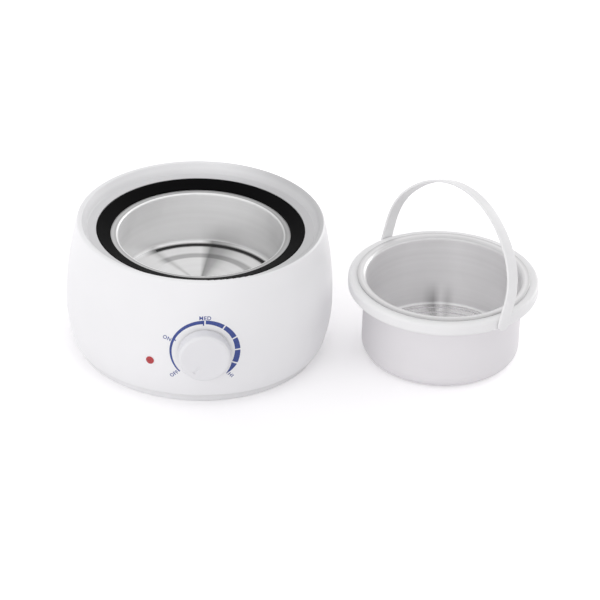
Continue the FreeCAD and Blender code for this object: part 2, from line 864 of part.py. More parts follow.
def make_band_heater(doc, d):
    body = new_body(doc, "band_heater")
    spin(body, Drawing(body, PLANE_XZ).box(
        d.bowl_outside, d.band_bottom, d.band_radius, d.band_top))
    half = d.band_gap / 2
    gap = Drawing(body, PLANE_XY, d.band_bottom - PAST)
    gap.box(-half, 0.0, half, d.band_radius + PAST)
    push(body, gap, d.band_height + PAST * 2, cut=True, back=True)
    ears = Drawing(body, PLANE_XY, d.band_middle - d.ear_height / 2)
    start, end = d.bowl_outside + d.ear_sink, d.band_radius + d.ear_length
    ears.box(half, start, half + d.ear_thick, end)
    ears.box(-half - d.ear_thick, start, -half, end)
    push(body, ears, d.ear_height)
    hole = Drawing(body, PLANE_YZ).circle(d.ear_middle, d.band_middle, d.ear_hole_radius)
    push(body, hole, (d.ear_face + PAST) * 2, cut=True, middle=True)
    return body


def make_band_screw(doc, d):
    body = new_body(doc, "band_screw")
    at = (d.ear_middle, d.band_middle)
    push(body, Drawing(body, PLANE_YZ, d.ear_face).circle(*at, d.bolt_head_radius),
         d.bolt_head_height)
    push(body, Drawing(body, PLANE_YZ, d.ear_face).circle(*at, d.bolt_radius),
         d.ear_face * 2 + d.bolt_past_ear, back=True)
    return body


def make_band_nut(doc, d):
    body = new_body(doc, "band_nut")
    reach = d.nut_radius
    flat = reach * sine(60)
    across = [(reach, 0.0), (reach / 2, flat), (-reach / 2, flat),
              (-reach, 0.0), (-reach / 2, -flat), (reach / 2, -flat)]
    corners = [(d.ear_middle + a, d.band_middle + b) for a, b in across]
    drawing = Drawing(body, PLANE_YZ, -d.ear_face).outline(corners)
    drawing.circle(d.ear_middle, d.band_middle, d.bolt_radius)
    push(body, drawing, d.nut_height, back=True)
    return body


def make_band_wrap(doc, d):
    body = new_body(doc, "insulation_wrap")
    top = d.band_top - d.wrap_drop
    half = d.wrap_gap / 2
    spin(body, Drawing(body, PLANE_XZ).box(
        d.band_radius, top - d.wrap_height, d.wrap_radius, top))
    gap = Drawing(body, PLANE_XY, top - d.wrap_height - PAST)
    gap.box(-half, 0.0, half, d.wrap_radius + PAST)
    push(body, gap, d.wrap_height + PAST * 2, cut=True, back=True)
    return body


def make_heater_tabs(doc, d):
    body = new_body(doc, "heater_tabs")
    half = d.tab_width / 2
    for side in (-1, 1):
        plate = Drawing(body, PLANE_XZ, d.band_radius, 180.0 + d.terminal_turn * side)
        plate.box(-half, d.terminal_low, half, d.terminal_low + d.terminal_length)
        push(body, plate, d.tab_thick)
    return body


# ---------------------------------------------------------------- thermostat


def make_thermostat_bracket(doc, d):
    body = new_body(doc, "thermostat_bracket")
    plate = d.plate_height
    top = d.knob_height + d.stack_height / 2
    rear = d.bracket_foot - d.boss_row
    corners = [(rear, plate), (rear, d.boss_end), (-d.leg_start, d.boss_end),
               (-d.leg_start, top), (-d.stack_start, top), (-d.stack_start, plate)]
    push(body, Drawing(body, PLANE_YZ).outline(corners), d.bracket_width, middle=True)
    holes = Drawing(body, PLANE_XY, plate - PAST)
    for side in (-1, 1):
        holes.circle(d.boss_spread * side, -d.boss_row, d.small_screw_radius + d.small_hole_gap)
    push(body, holes, d.sheet_thick + PAST * 2, cut=True, back=True)
    push(body, rivet_row(body, d, d.leg_start - PAST, d.rivet_radius),
         d.sheet_thick + PAST * 2, cut=True, back=True)
    return body


def rivet_row(body, d, lift, radius):
    """Circles for the two rivets that hold strip, bracket and stack together."""
    drawing = Drawing(body, PLANE_XZ, lift)
    for side in (-1, 1):
        drawing.circle(d.rivet_spread * side, d.rivet_height, radius)
    return drawing


def make_bracket_screws(doc, d):
    body = new_body(doc, "bracket_screws")
    heads = Drawing(body, PLANE_XY, d.plate_height - d.small_head_height)
    shanks = Drawing(body, PLANE_XY, d.plate_height)
    for x, y in boss_places(d):
        heads.circle(x, y, d.small_head_radius)
        shanks.circle(x, y, d.small_screw_radius)
    push(body, heads, d.small_head_height)
    push(body, shanks, d.boss_length)
    return body


def make_bimetal_strip(doc, d):
    body = new_body(doc, "bimetal_strip")
    half = d.strip_width / 2
    plate = Drawing(body, PLANE_XZ, d.strip_start)
    plate.box(-half, d.rivet_height - d.strip_below_rivet,
              half, d.knob_height + d.stack_height / 2 - d.strip_below_top)
    push(body, plate, d.tab_thick)
    push(body, rivet_row(body, d, d.strip_start - PAST, d.rivet_radius),
         d.tab_thick + PAST * 2, cut=True, back=True)
    return body


def make_thermostat_body(doc, d):
    body = new_body(doc, "thermostat_body")
    half = d.stack_width / 2
    block = Drawing(body, PLANE_XZ, d.stack_start)
    block.box(-half, d.knob_height - d.stack_height / 2, half, d.knob_height + d.stack_height / 2)
    push(body, block, d.stack_depth)
    bore = Drawing(body, PLANE_XZ, d.shaft_start - d.shaft_back_gap)
    push(body, bore.circle(0.0, d.knob_height, d.shaft_radius + d.shaft_clearance),
         d.stack_depth, cut=True, back=True)
    push(body, rivet_row(body, d, d.stack_start, d.rivet_radius), d.rivet_depth,
         cut=True, back=True)
    return body


def make_rivets(doc, d):
    body = new_body(doc, "thermostat_rivets")
    push(body, rivet_row(body, d, d.strip_start - d.rivet_head_height, d.rivet_head_radius),
         d.rivet_head_height)
    push(body, rivet_row(body, d, d.strip_start, d.rivet_radius),
         d.tab_thick + d.sheet_thick + d.rivet_depth)
    return body


def make_bush(doc, d):
    body = new_body(doc, "thermostat_bush")
    ring = Drawing(body, PLANE_XZ, d.stack_end)
    ring.circle(0.0, d.knob_height, d.bush_radius)
    ring.circle(0.0, d.knob_height, d.shaft_radius + d.shaft_clearance)
    push(body, ring, d.bush_length)
    return body


def make_thermostat_tabs(doc, d):
    body = new_body(doc, "thermostat_tabs")
    half = d.stack_width / 2
    middle = d.stack_start + d.stack_depth / 2
    for side in (-1, 1):
        plate = Drawing(body, PLANE_YZ, half * side)
        plate.box(-middle - d.tab_width / 2, d.tab_bottom,
                  -middle + d.tab_width / 2, d.tab_top)
        push(body, plate, d.tab_thick, back=side < 0)
    return body


def make_shaft(doc, d):
    body = new_body(doc, "thermostat_shaft")
    rod = Drawing(body, PLANE_XZ, d.shaft_start).circle(0.0, d.knob_height, d.shaft_radius)
    push(body, rod, d.shaft_tip - d.shaft_start)
    flat = Drawing(body, PLANE_XZ, d.knob_back)
    beyond = d.shaft_radius + PAST
    flat.box(-beyond, d.knob_height + d.shaft_flat, beyond, d.knob_height + beyond)
    push(body, flat, d.knob_length, cut=True, back=True)
    return body


def make_knob(doc, d):
    """Built with its axis on Z and its back at Z = 0, then turned to face -Y."""
    body = new_body(doc, "knob")
    inside = d.knob_radius - d.knob_wall
    roof = d.knob_length - d.knob_wall
    boss = d.shaft_radius + d.knob_wall
    corners = [
        (0.0, d.knob_boss_inset), (boss, d.knob_boss_inset), (boss, roof),
        (inside - d.knob_taper, roof), (inside, 0.0),
        (d.knob_radius, 0.0), (d.knob_radius - d.knob_taper, d.knob_length), (0.0, d.knob_length),
    ]
    spin(body, Drawing(body, PLANE_XZ).outline(corners))
    soften(body, d.knob_round, hoop(d.knob_radius - d.knob_taper, d.knob_length))
    half = root(d.shaft_radius * d.shaft_radius - d.shaft_flat * d.shaft_flat)
    bore = Drawing(body, PLANE_XY)
    bore.outline([(half, d.shaft_flat), (-half, d.shaft_flat)], {1: (0.0, -1)})
    push(body, bore, d.knob_length - d.shaft_end, cut=True, back=True)
    line = Drawing(body, PLANE_XY, d.knob_length).swing(FreeCAD.Vector(0, 0, 1), d.pointer_azimuth)
    line.box(d.knob_radius - d.pointer_start, -d.pointer_width / 2,
             d.knob_radius - d.pointer_end, d.pointer_width / 2)
    push(body, line, d.pointer_depth, cut=True)
    set_place(body, 0.0, -d.knob_back, d.knob_height, (1, 0, 0), 90.0)
    return body


# ---------------------------------------------------------------- pilot light


def make_pilot_lens(doc, d):
    body = new_body(doc, "pilot_lens")
    stem = Drawing(body, PLANE_XZ, d.lamp_front, d.pilot_azimuth)
    push(body, stem.circle(0.0, d.pilot_height, d.lens_radius), d.lens_stem)
    head = Drawing(body, PLANE_XZ, d.lens_seat, d.pilot_azimuth)
    push(body, head.circle(0.0, d.pilot_height, d.lens_head), d.lens_proud)
    return body


def make_lens_clip(doc, d):
    body = new_body(doc, "lens_clip")
    front = d.belly_radius - d.wall - d.lens_clip_gap
    ring = Drawing(body, PLANE_XZ, front - d.lens_clip_thick, d.pilot_azimuth)
    ring.circle(0.0, d.pilot_height, d.lens_clip_radius)
    ring.circle(0.0, d.pilot_height, d.lens_radius)
    push(body, ring, d.lens_clip_thick)
    return body


def make_neon_lamp(doc, d):
    body = new_body(doc, "neon_lamp")
    tube = Drawing(body, PLANE_XZ, d.lamp_front - d.lamp_length, d.pilot_azimuth)
    push(body, tube.circle(0.0, d.pilot_height, d.lens_radius), d.lamp_length)
    return body


def make_lamp_sleeve(doc, d):
    body = new_body(doc, "lamp_sleeve")
    ring = Drawing(body, PLANE_XZ, d.lamp_front - d.lamp_sleeve_lap, d.pilot_azimuth)
    ring.circle(0.0, d.pilot_height, d.lens_radius + d.lamp_sleeve_wall)
    ring.circle(0.0, d.pilot_height, d.lens_radius)
    push(body, ring, d.lamp_sleeve_length)
    return body


# ---------------------------------------------------------------- mains inlet


def make_inlet_socket(doc, d):
    body = new_body(doc, "inlet_socket")
    # the flange starts inside the wall's curve, which the groove then follows
    sunk = d.belly_radius - d.wall
    flange = Drawing(body, PLANE_XZ, sunk, 180.0)
    flange.box(-d.inlet_flange_half_width, d.inlet_height - d.inlet_flange_half_height,
               d.inlet_flange_half_width, d.inlet_height + d.inlet_flange_half_height)
    push(body, flange, d.inlet_front - sunk)
    hollow = Drawing(body, PLANE_XZ)
    reach = d.inlet_flange_half_height + PAST
    hollow.box(d.inlet_rear, d.inlet_height - reach, d.lens_seat, d.inlet_height + reach)
    spin(body, hollow, cut=True)
    barrel = Drawing(body, PLANE_XZ, d.inlet_rear, 180.0)
    barrel.box(-d.inlet_half_width, d.inlet_height - d.inlet_half_height,
               d.inlet_half_width, d.inlet_height + d.inlet_half_height)
    push(body, barrel, d.inlet_depth + PAST)
    low, high = d.inlet_height - d.socket_radius, d.inlet_height + d.socket_radius
    for side in (-1, 1):
        end = Drawing(body, PLANE_XZ, d.inlet_front, 180.0)
        end.circle(d.socket_half_pitch * side, d.inlet_height, d.socket_radius)
        push(body, end, d.socket_depth, cut=True)
    middle = Drawing(body, PLANE_XZ, d.inlet_front, 180.0)
    middle.box(-d.socket_half_pitch, low, d.socket_half_pitch, high)
    push(body, middle, d.socket_depth, cut=True)
    through = d.inlet_depth + d.inlet_flange_thick + PAST * 2
    holes = Drawing(body, PLANE_XZ, d.inlet_front + PAST, 180.0)
    for side in (-1, 1):
        holes.circle(d.contact_half_pitch * side, d.inlet_height, d.contact_radius)
    push(body, holes, through, cut=True)
    fixings = Drawing(body, PLANE_XZ, d.inlet_front + PAST, 180.0)
    for side in (-1, 1):
        fixings.circle(d.inlet_screw_x * side, d.inlet_height,
                       d.small_screw_radius + d.small_hole_gap)
    push(body, fixings, through, cut=True)
    return body


def make_inlet_contacts(doc, d):
    body = new_body(doc, "inlet_contacts")
    pins = Drawing(body, PLANE_XZ, d.contact_end, 180.0)
    for side in (-1, 1):
        pins.circle(d.contact_half_pitch * side, d.inlet_height, d.contact_radius)
    push(body, pins, d.inlet_depth + d.contact_tail)
    return body


def make_inlet_screws(doc, d):
    body = new_body(doc, "inlet_screws")
    heads = Drawing(body, PLANE_XZ, d.inlet_front, 180.0)
    shanks = Drawing(body, PLANE_XZ, d.inlet_front - d.inlet_screw_length, 180.0)
    for side in (-1, 1):
        heads.circle(d.inlet_screw_x * side, d.inlet_height, d.inlet_head_radius)
        shanks.circle(d.inlet_screw_x * side, d.inlet_height, d.small_screw_radius)
    push(body, heads, d.inlet_head_height)
    push(body, shanks, d.inlet_screw_length)
    for side in (-1, 1):
        cross = Drawing(body, PLANE_XZ, d.inlet_front + d.inlet_head_height, 180.0)
        cross.cross(d.inlet_screw_x * side, d.inlet_height, d.small_cross_reach,
                    d.small_cross_half)
        push(body, cross, d.small_cross_depth, cut=True)
    return body


# ---------------------------------------------------------------- fuse


def make_fuse_sleeve(doc, d):
    body = new_body(doc, "fuse_sleeve")
    half = d.sleeve_length / 2
    tube = Drawing(body, PLANE_YZ, -half)
    tube.circle(d.fuse_row, d.fuse_height, d.sleeve_radius)
    tube.circle(d.fuse_row, d.fuse_height, d.fuse_radius)
    push(body, tube, d.sleeve_length)
    return body


def make_thermal_fuse(doc, d):
    body = new_body(doc, "thermal_fuse")
    can = Drawing(body, PLANE_YZ).circle(d.fuse_row, d.fuse_height, d.fuse_radius)
    push(body, can, d.fuse_length, middle=True)
    wire = Drawing(body, PLANE_YZ).circle(d.fuse_row, d.fuse_height, d.fuse_wire_radius)
    push(body, wire, d.sleeve_length + d.fuse_wire_past * 2, middle=True)
    return body


def make_fuse_clip(doc, d):
    body = new_body(doc, "fuse_clip")
    top = d.fuse_height - d.sleeve_radius
    plate = d.plate_height
    front = d.fuse_row - d.sleeve_radius - d.clip_front_gap
    bend = d.fuse_row + d.sleeve_radius + d.clip_back_gap
    rear = d.fuse_row + d.clip_end_row
    corners = [
        (front, top + d.clip_hook), (front, top - d.sheet_thick), (bend, top - d.sheet_thick),
        (bend + d.sheet_thick, plate), (rear, plate), (rear, d.boss_end),
        (bend, d.boss_end), (bend - d.sheet_thick, top), (front + d.sheet_thick, top),
        (front + d.sheet_thick, top + d.clip_hook),
    ]
    push(body, Drawing(body, PLANE_YZ).outline(corners), d.clip_width, middle=True)
    hole = Drawing(body, PLANE_XY, plate - PAST)
    hole.circle(0.0, d.fuse_row + d.clip_screw_row, d.small_screw_radius + d.small_hole_gap)
    push(body, hole, d.sheet_thick + PAST * 2, cut=True, back=True)
    return body


# ---------------------------------------------------------------- leads


def tube_along(points, radius):
    """A round lead through points: straight runs joined by tangent arcs."""
    spots = [FreeCAD.Vector(*(number(value) for value in point)) for point in points]
    edges, cursor = [], spots[0]
    for before, corner, after in zip(spots, spots[1:], spots[2:]):
        inward, outward = (before - corner), (after - corner)
        half_angle = inward.getAngle(outward) / 2
        reach = 0.45 * min(inward.Length, outward.Length)
        inward.normalize()
        outward.normalize()
        start, end = corner + inward * reach, corner + outward * reach
        bisector = inward + outward
        bisector.normalize()
        bend = reach * math.tan(half_angle)
        centre = corner + bisector * (reach / math.cos(half_angle))
        via = centre - bisector * bend
        edges += [Part.LineSegment(cursor, start).toShape(), Part.Arc(start, via, end).toShape()]
        cursor = end
    edges.append(Part.LineSegment(cursor, spots[-1]).toShape())
    path = Part.Wire(edges)
    heading = (spots[1] - spots[0])
    ring = Part.Wire(Part.Circle(spots[0], heading, number(radius)).toShape())
    return path.makePipeShell([ring], True, False)


def make_lead(doc, label, points, radius):
    lead = doc.addObject("Part::Feature", label)
    lead.Label = label
    lead.Shape = tube_along(points, radius)
    lead.Placement = FreeCAD.Placement()
    return lead


def lead_routes(d):
    """Each lead's route inside the casing, from terminal to terminal."""
    floor = d.base_top + 4.0
    tab_bottom = d.tab_bottom
    tab_x = d.stack_width / 2 + d.tab_thick / 2
    tab_y = -(d.stack_start + d.stack_depth / 2)
    pin_x, pin_y = d.contact_half_pitch, d.contact_end
    heater_low = d.terminal_low
    heater_mid = d.band_radius + d.tab_thick / 2
    right_x, right_y = heater_mid * sine(d.terminal_turn), heater_mid * cosine(d.terminal_turn)
    fuse_end = d.sleeve_length / 2 + d.fuse_wire_past
    low_run = floor + 4.0
    return {
        "lead_live": [
            (-pin_x, pin_y, d.inlet_height), (-pin_x, pin_y - 5.0, d.inlet_height),
            (-pin_x - 6.0, pin_y - 7.0, low_run + 8.0),
            (-24.0, 48.0, low_run + 2.0), (-28.0, 10.0, low_run),
            (-26.0, -32.0, low_run), (-tab_x - 4.0, tab_y + 6.0, low_run + 2.0),
            (-tab_x, tab_y, tab_bottom - 6.0), (-tab_x, tab_y, tab_bottom)],
        "lead_switched": [
            (tab_x, tab_y, tab_bottom), (tab_x, tab_y, tab_bottom - 6.0),
            (tab_x + 5.0, tab_y + 10.0, low_run + 1.0), (30.0, -30.0, low_run + 2.0),
            (34.0, 8.0, low_run + 6.0), (fuse_end + 9.0, d.fuse_row, d.fuse_height),
            (fuse_end, d.fuse_row, d.fuse_height)],
        "lead_heater": [
            (-fuse_end, d.fuse_row, d.fuse_height),
            (-fuse_end - 9.0, d.fuse_row, d.fuse_height),
            (-right_x + 4.0, right_y - 6.0, heater_low - 10.0),
            (-right_x, right_y, heater_low - 5.0), (-right_x, right_y, heater_low)],
        "lead_neutral": [
            (right_x, right_y, heater_low), (right_x, right_y, heater_low - 6.0),
            (right_x - 10.0, right_y - 2.0, heater_low - 13.0),
            (pin_x + 6.0, pin_y - 14.0, d.inlet_height - 8.0),
            (pin_x, pin_y - 9.0, d.inlet_height), (pin_x, pin_y, d.inlet_height)],
    }


# ---------------------------------------------------------------- pot and bail


def stand_pot(body, d, turned=False):
    """Place a body of the pot where the pot stands beside the heater."""
    set_place(body, d.pot_away, -d.stand_forward, 0.0, (0, 0, 1),
              d.bail_azimuth if turned else 0.0)


def make_wax_pot(doc, d):
    """A thin wall on a thick base that spreads the heat, with a rounded flange."""
    body = new_body(doc, "wax_pot")
    corners = [
        (0.0, 0.0), (d.pot_radius, 0.0), (d.pot_radius, d.rim_under),
        (d.rim_radius, d.rim_under), (d.rim_radius, d.pot_height),
        (d.pot_inside, d.pot_height), (d.pot_inside, d.pot_base), (0.0, d.pot_base),
    ]
    spin(body, Drawing(body, PLANE_XZ).outline(corners))
    soften(body, d.pot_corner, hoop(d.pot_radius, 0.0))
    soften(body, d.pot_base_corner, hoop(d.pot_inside, d.pot_base))
    soften(body, d.rim_fold, hoop(d.pot_radius, d.rim_under))
    soften(body, d.rim_round, hoop(d.pot_inside, d.pot_height))
    soften(body, d.rim_edge_round, hoop(d.rim_radius, d.pot_height))
    for radius in (d.inner_ring_radius, d.outer_ring_radius):
        groove = Drawing(body, PLANE_XZ)
        groove.box(radius, d.pot_base - d.floor_ring_depth, radius + d.floor_ring_width,
                   d.pot_base + PAST)
        spin(body, groove, cut=True)
    stand_pot(body, d)
    return body


def make_collar(doc, d):
    body = new_body(doc, "pot_collar")
    inside, eased = d.pot_radius + FIT, d.rim_fold + d.collar_ease
    spin(body, Drawing(body, PLANE_XZ).outline([
        (inside, d.collar_bottom), (d.collar_radius, d.collar_bottom),
        (d.collar_radius, d.rim_under), (inside + eased, d.rim_under),
        (inside, d.rim_under - eased)]))
    soften(body, d.collar_round, hoop(d.collar_radius, d.collar_bottom))
    soften(body, d.collar_round, hoop(d.collar_radius, d.rim_under))
    hole = Drawing(body, PLANE_YZ, d.collar_radius + PAST)
    hole.circle(0.0, d.pivot_height, d.pin_radius + d.pin_clearance)
    socket = push(body, hole, d.pin_length + d.pin_bottom + PAST, cut=True)
    repeat(body, [socket], PIVOTS)
    stand_pot(body, d, turned=True)
    return body


def make_bail(doc, d):
    """A strap bent to two straight legs, round shoulders and a flatter crown.

    It is drawn with heights counted from the pivots, about which it leans.
    The shoulders' centres lie level with the legs' tops, and the crown's
    centre below them in the middle, so that the arcs run into each other.
    """
    body = new_body(doc, "bail")
    foot = -d.bail_width / 2
    out = d.bail_outside - d.bail_shoulder
    over = d.bail_rise - d.bail_shoulder
    drop = (out * out - over * over) / (over * 2)
    between = over + drop
    crown = d.bail_leg - drop

    def joint(face):
        """Where shoulder and crown meet, on the strap's face at this half span."""
        reach = between + face - out
        return reach * out / between, crown + reach * drop / between

    corners = []
    for face in (d.bail_outside, d.bail_inside):
        x, z = joint(face)
        side = [(face, foot), (face, d.bail_leg), (x, z)]
        side += [(-across, up) for across, up in reversed(side)]
        corners += side if face is d.bail_outside else side[::-1]
    arcs = {1: (d.bail_leg, 1), 2: (crown, 1), 3: (d.bail_leg, -1),
            7: (d.bail_leg, -1), 8: (crown, 1), 9: (d.bail_leg, 1)}
    drawing = Drawing(body, PLANE_XZ).swing(FreeCAD.Vector(1, 0, 0), -d.bail_lean)
    push(body, drawing.raised(d.pivot_height).outline(corners, arcs), d.bail_width, middle=True)

    def foot_corner(edge):
        box = edge.BoundBox
        return box.YLength < 0.01 and box.ZLength < 0.01

    soften(body, d.bail_width / 2 - d.bail_foot_flat / 2, foot_corner)
    pin_start = d.bail_inside + d.bail_thick / 2
    pin = Drawing(body, PLANE_YZ, pin_start).circle(0.0, d.pivot_height, d.pin_radius)
    stub = push(body, pin, d.bail_thick / 2 + d.bail_gap + d.pin_length, back=True)
    repeat(body, [stub], PIVOTS)
    stand_pot(body, d, turned=True)
    return body


# ---------------------------------------------------------------- document


MAKERS = (
    make_housing, make_base, make_base_screws, make_rubber_pads, make_heat_ring,
    make_heating_bowl, make_bowl_clips, make_clip_screws, make_band_heater, make_band_screw,
    make_band_nut, make_band_wrap, make_heater_tabs, make_thermostat_bracket,
    make_bracket_screws, make_bimetal_strip, make_thermostat_body, make_rivets, make_bush,
    make_thermostat_tabs, make_shaft, make_knob, make_pilot_lens, make_lens_clip,
    make_neon_lamp, make_lamp_sleeve, make_inlet_socket, make_inlet_contacts,
    make_inlet_screws, make_fuse_sleeve, make_thermal_fuse, make_fuse_clip, make_wax_pot,
    make_collar, make_bail,
)


def check_document(doc):
    """Stop on a failed object or on a cut that takes nothing away."""
    for thing in doc.Objects:
        if "Invalid" in thing.State or "Error" in thing.State:
            raise RuntimeError(f"{thing.Name} failed: {thing.State}")
        if thing.TypeId in ("PartDesign::Pocket", "PartDesign::Groove"):
            before = thing.BaseFeature.Shape.Volume
            if before - thing.Shape.Volume < 1e-3:
                raise RuntimeError(f"{thing.Name} cuts nothing")


def check_shape(node):
    shape = node.Shape
    if shape.isNull() or not shape.isValid() or not shape.Solids:
        raise RuntimeError(f"{node.Label} has no valid solid")


def main():
    doc = FreeCAD.newDocument("WaxMelter")
    make_sheet(doc)
    d = read_sizes()
    nodes = [maker(doc, d) for maker in MAKERS]
    nodes += [make_lead(doc, label, route, d.lead_radius) for label, route in lead_routes(d).items()]
    doc.recompute()
    check_document(doc)
    for node in nodes:
        check_shape(node)
    os.makedirs("parts", exist_ok=True)
    for node in nodes:
        node.Shape.exportStep(f"parts/{node.Label}.step")
        print(f"{node.Label}: {len(node.Shape.Solids)} solids, {node.Shape.Volume:.1f} mm3")


main()
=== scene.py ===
"""The looks of a candle wax melter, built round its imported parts.

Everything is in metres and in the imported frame: +Z is up the heater's axis, -Y faces the control knob
and +X points at the melting pot that stands beside the heater.
"""

import json
import logging
import math
from collections.abc import Callable, Sequence
from dataclasses import dataclass, field
from enum import Enum

import bmesh
import bpy
from mathutils import Matrix, Vector


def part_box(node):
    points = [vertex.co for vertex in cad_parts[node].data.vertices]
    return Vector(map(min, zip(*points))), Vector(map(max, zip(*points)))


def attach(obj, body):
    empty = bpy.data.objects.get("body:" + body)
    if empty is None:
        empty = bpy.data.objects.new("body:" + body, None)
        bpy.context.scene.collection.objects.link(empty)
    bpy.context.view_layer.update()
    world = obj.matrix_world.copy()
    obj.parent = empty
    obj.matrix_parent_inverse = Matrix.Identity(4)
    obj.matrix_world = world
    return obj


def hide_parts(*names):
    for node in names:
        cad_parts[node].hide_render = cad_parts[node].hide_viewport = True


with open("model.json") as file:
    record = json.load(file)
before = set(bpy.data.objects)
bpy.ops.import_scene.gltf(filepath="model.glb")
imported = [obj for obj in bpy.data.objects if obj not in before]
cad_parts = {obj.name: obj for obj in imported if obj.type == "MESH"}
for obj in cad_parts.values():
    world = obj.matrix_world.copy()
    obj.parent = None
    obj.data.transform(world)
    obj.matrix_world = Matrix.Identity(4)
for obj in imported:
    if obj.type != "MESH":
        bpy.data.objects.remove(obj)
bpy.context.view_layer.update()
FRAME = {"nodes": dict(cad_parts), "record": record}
SLOT_OF = {part["node"]: part["material_slot"] for part in FRAME["record"]["subparts"]}
LOG = logging.getLogger("wax_melter")

Colour = tuple[float, float, float]
Point = tuple[float, float, float]
Outline = list[tuple[float, float]]
Tones = tuple[tuple[float, float], ...]
Sockets = dict[str | int, object]

MM = 0.001
FULL_TURN = 2 * math.pi
QUARTER_TURN = math.pi / 2
SEED = 7.0
ORIGIN: Point = (0.0, 0.0, 0.0)
UP = Vector((0.0, 0.0, 1.0))
BLACK = (0.0, 0.0, 0.0, 1.0)
PLAIN: Tones = ((0.0, 1.0), (1.0, 1.0))
POLE = 0.02 * MM
SAME_PLACE = 1e-7
SOFT = (0.3, 0.7)
PATCHY = (0.45, 0.75)
PLASTIC_INDEX = 1.49
GLASS_INDEX = 1.47


def shade(colour: Colour, amount: float = 1.0) -> tuple[float, float, float, float]:
    """Returns the colour, lightened or darkened by a factor, with its alpha."""
    return tuple(min(1.0, part * amount) for part in colour) + (1.0,)


def tones_mm(*stops: tuple[float, float]) -> Tones:
    """Returns tones whose places are given in millimetres."""
    return tuple((place * MM, level) for place, level in stops)


def middle(node: str) -> Vector:
    """Returns the centre of a CAD node's box."""
    low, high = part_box(node)
    return (low + high) / 2


# ---------------------------------------------------------------- node trees


def operator(operation: str) -> tuple[Callable[["Wire", "Wire | float"], "Wire"], ...]:
    """Makes an operator of Wire.

    Args:
        operation: The Math node's operation.

    Returns:
        The operator and its reflected form.
    """
    def forward(self: "Wire", other: "Wire | float") -> "Wire":
        """Returns the operation on self and other."""
        return self.maths(operation, self, other)

    def reflected(self: "Wire", other: float) -> "Wire":
        """Returns the operation on other and self."""
        return self.maths(operation, other, self)

    return forward, reflected


def function(operation: str) -> Callable[["Wire"], "Wire"]:
    """Makes a method of Wire that takes no other value.

    Args:
        operation: The Math node's operation.

    Returns:
        The method.
    """
    def alone(self: "Wire") -> "Wire":
        """Returns the operation on self."""
        return self.maths(operation, self)

    return alone


class Wire:
    """One output socket, which Python's operators carry through Math nodes."""

    __add__, __radd__ = operator("ADD")
    __sub__, __rsub__ = operator("SUBTRACT")
    __mul__, __rmul__ = operator("MULTIPLY")
    __truediv__, __rtruediv__ = operator("DIVIDE")
    __pow__, __rpow__ = operator("POWER")
    sine, cosine, root = function("SINE"), function("COSINE"), function("SQRT")
    size, floor = function("ABSOLUTE"), function("FLOOR")

    def __init__(self, tree: "Tree", socket: bpy.types.NodeSocket) -> None:
        """Keeps the tree and the socket together."""
        self.tree = tree
        self.socket = socket

    def maths(self, operation: str, *values: "Wire | float") -> "Wire":
        """Returns the output of a Math node that these values go into."""
        return self.tree.wire("ShaderNodeMath", {"operation": operation}, dict(enumerate(values)))

    def angle_to(self, other: "Wire") -> "Wire":
        """Returns the angle whose tangent is self over other."""
        return self.maths("ARCTAN2", self, other)

    def step(self, low: float, high: float) -> "Wire":
        """Returns a smooth step: 0 at low and 1 at high, which may be the lower of the two."""
        sockets = {"Value": self, "From Min": low, "From Max": high}
        return self.tree.wire("ShaderNodeMapRange", {"interpolation_type": "SMOOTHSTEP"}, sockets)


class Tree:
    """A node tree that is written as Python."""

    def __init__(self, tree: bpy.types.NodeTree) -> None:
        """Starts from an empty tree."""
        self.tree = tree
        self.tree.nodes.clear()

    def node(self, kind: str, settings: dict | None = None,
             sockets: Sockets | None = None) -> bpy.types.Node:
        """Adds a node.

        Args:
            kind: The node's type.
            settings: Its properties, which are set first; "stops" fills a grey colour ramp.
            sockets: Values or wires, by the input's name or number.

        Returns:
            The node.
        """
        made = self.tree.nodes.new(kind)
        for name, value in (settings or {}).items():
            if name == "stops":
                self.fill_ramp(made.color_ramp, value)
            else:
                setattr(made, name, value)
        for key, value in (sockets or {}).items():
            if isinstance(value, Wire):
                self.tree.links.new(value.socket, made.inputs[key])
            else:
                made.inputs[key].default_value = value
        return made

    def wire(self, kind: str, settings: dict | None = None, sockets: Sockets | None = None,
             output: str | int = 0) -> Wire:
        """Adds a node as node() does, and returns one of its outputs."""
        return Wire(self, self.node(kind, settings, sockets).outputs[output])

    @staticmethod
    def fill_ramp(ramp: bpy.types.ColorRamp, stops: Sequence[tuple[float, float]]) -> None:
        """Sets a grey ramp's stops.

        Args:
            ramp: The ramp.
            stops: A place and a level of grey for each stop.
        """
        while len(ramp.elements) < len(stops):
            ramp.elements.new(1.0)
        for element, (place, level) in zip(ramp.elements, stops):
            element.position = place
            element.color = (level, level, level, 1.0)

    def split(self, vector: Wire) -> tuple[Wire, Wire, Wire]:
        """Returns the three parts of a vector."""
        parts = self.node("ShaderNodeSeparateXYZ", None, {0: vector}).outputs
        return tuple(Wire(self, part) for part in parts)

    def point(self, x: Wire | float, y: Wire | float, z: Wire | float) -> Wire:
        """Returns a vector made of three parts."""
        return self.wire("ShaderNodeCombineXYZ", None, {0: x, 1: y, 2: z})

    def length(self, vector: Wire) -> Wire:
        """Returns how long a vector is."""
        return self.wire("ShaderNodeVectorMath", {"operation": "LENGTH"}, {0: vector}, "Value")

    def dot(self, vector: Wire, other: Vector) -> Wire:
        """Returns the dot product of a vector and a fixed one."""
        sockets = {0: vector, 1: tuple(other)}
        return self.wire("ShaderNodeVectorMath", {"operation": "DOT_PRODUCT"}, sockets, "Value")

    def rays(self, *kinds: str) -> Wire:
        """Tells kinds of ray from others.

        Args:
            kinds: Their names, such as Camera.

        Returns:
            1 for rays of these kinds, and 0 for all others.
        """
        path = self.node("ShaderNodeLightPath").outputs
        first, *rest = (Wire(self, path[f"Is {kind} Ray"]) for kind in kinds)
        return sum(rest, first).step(0.0, 1.0)


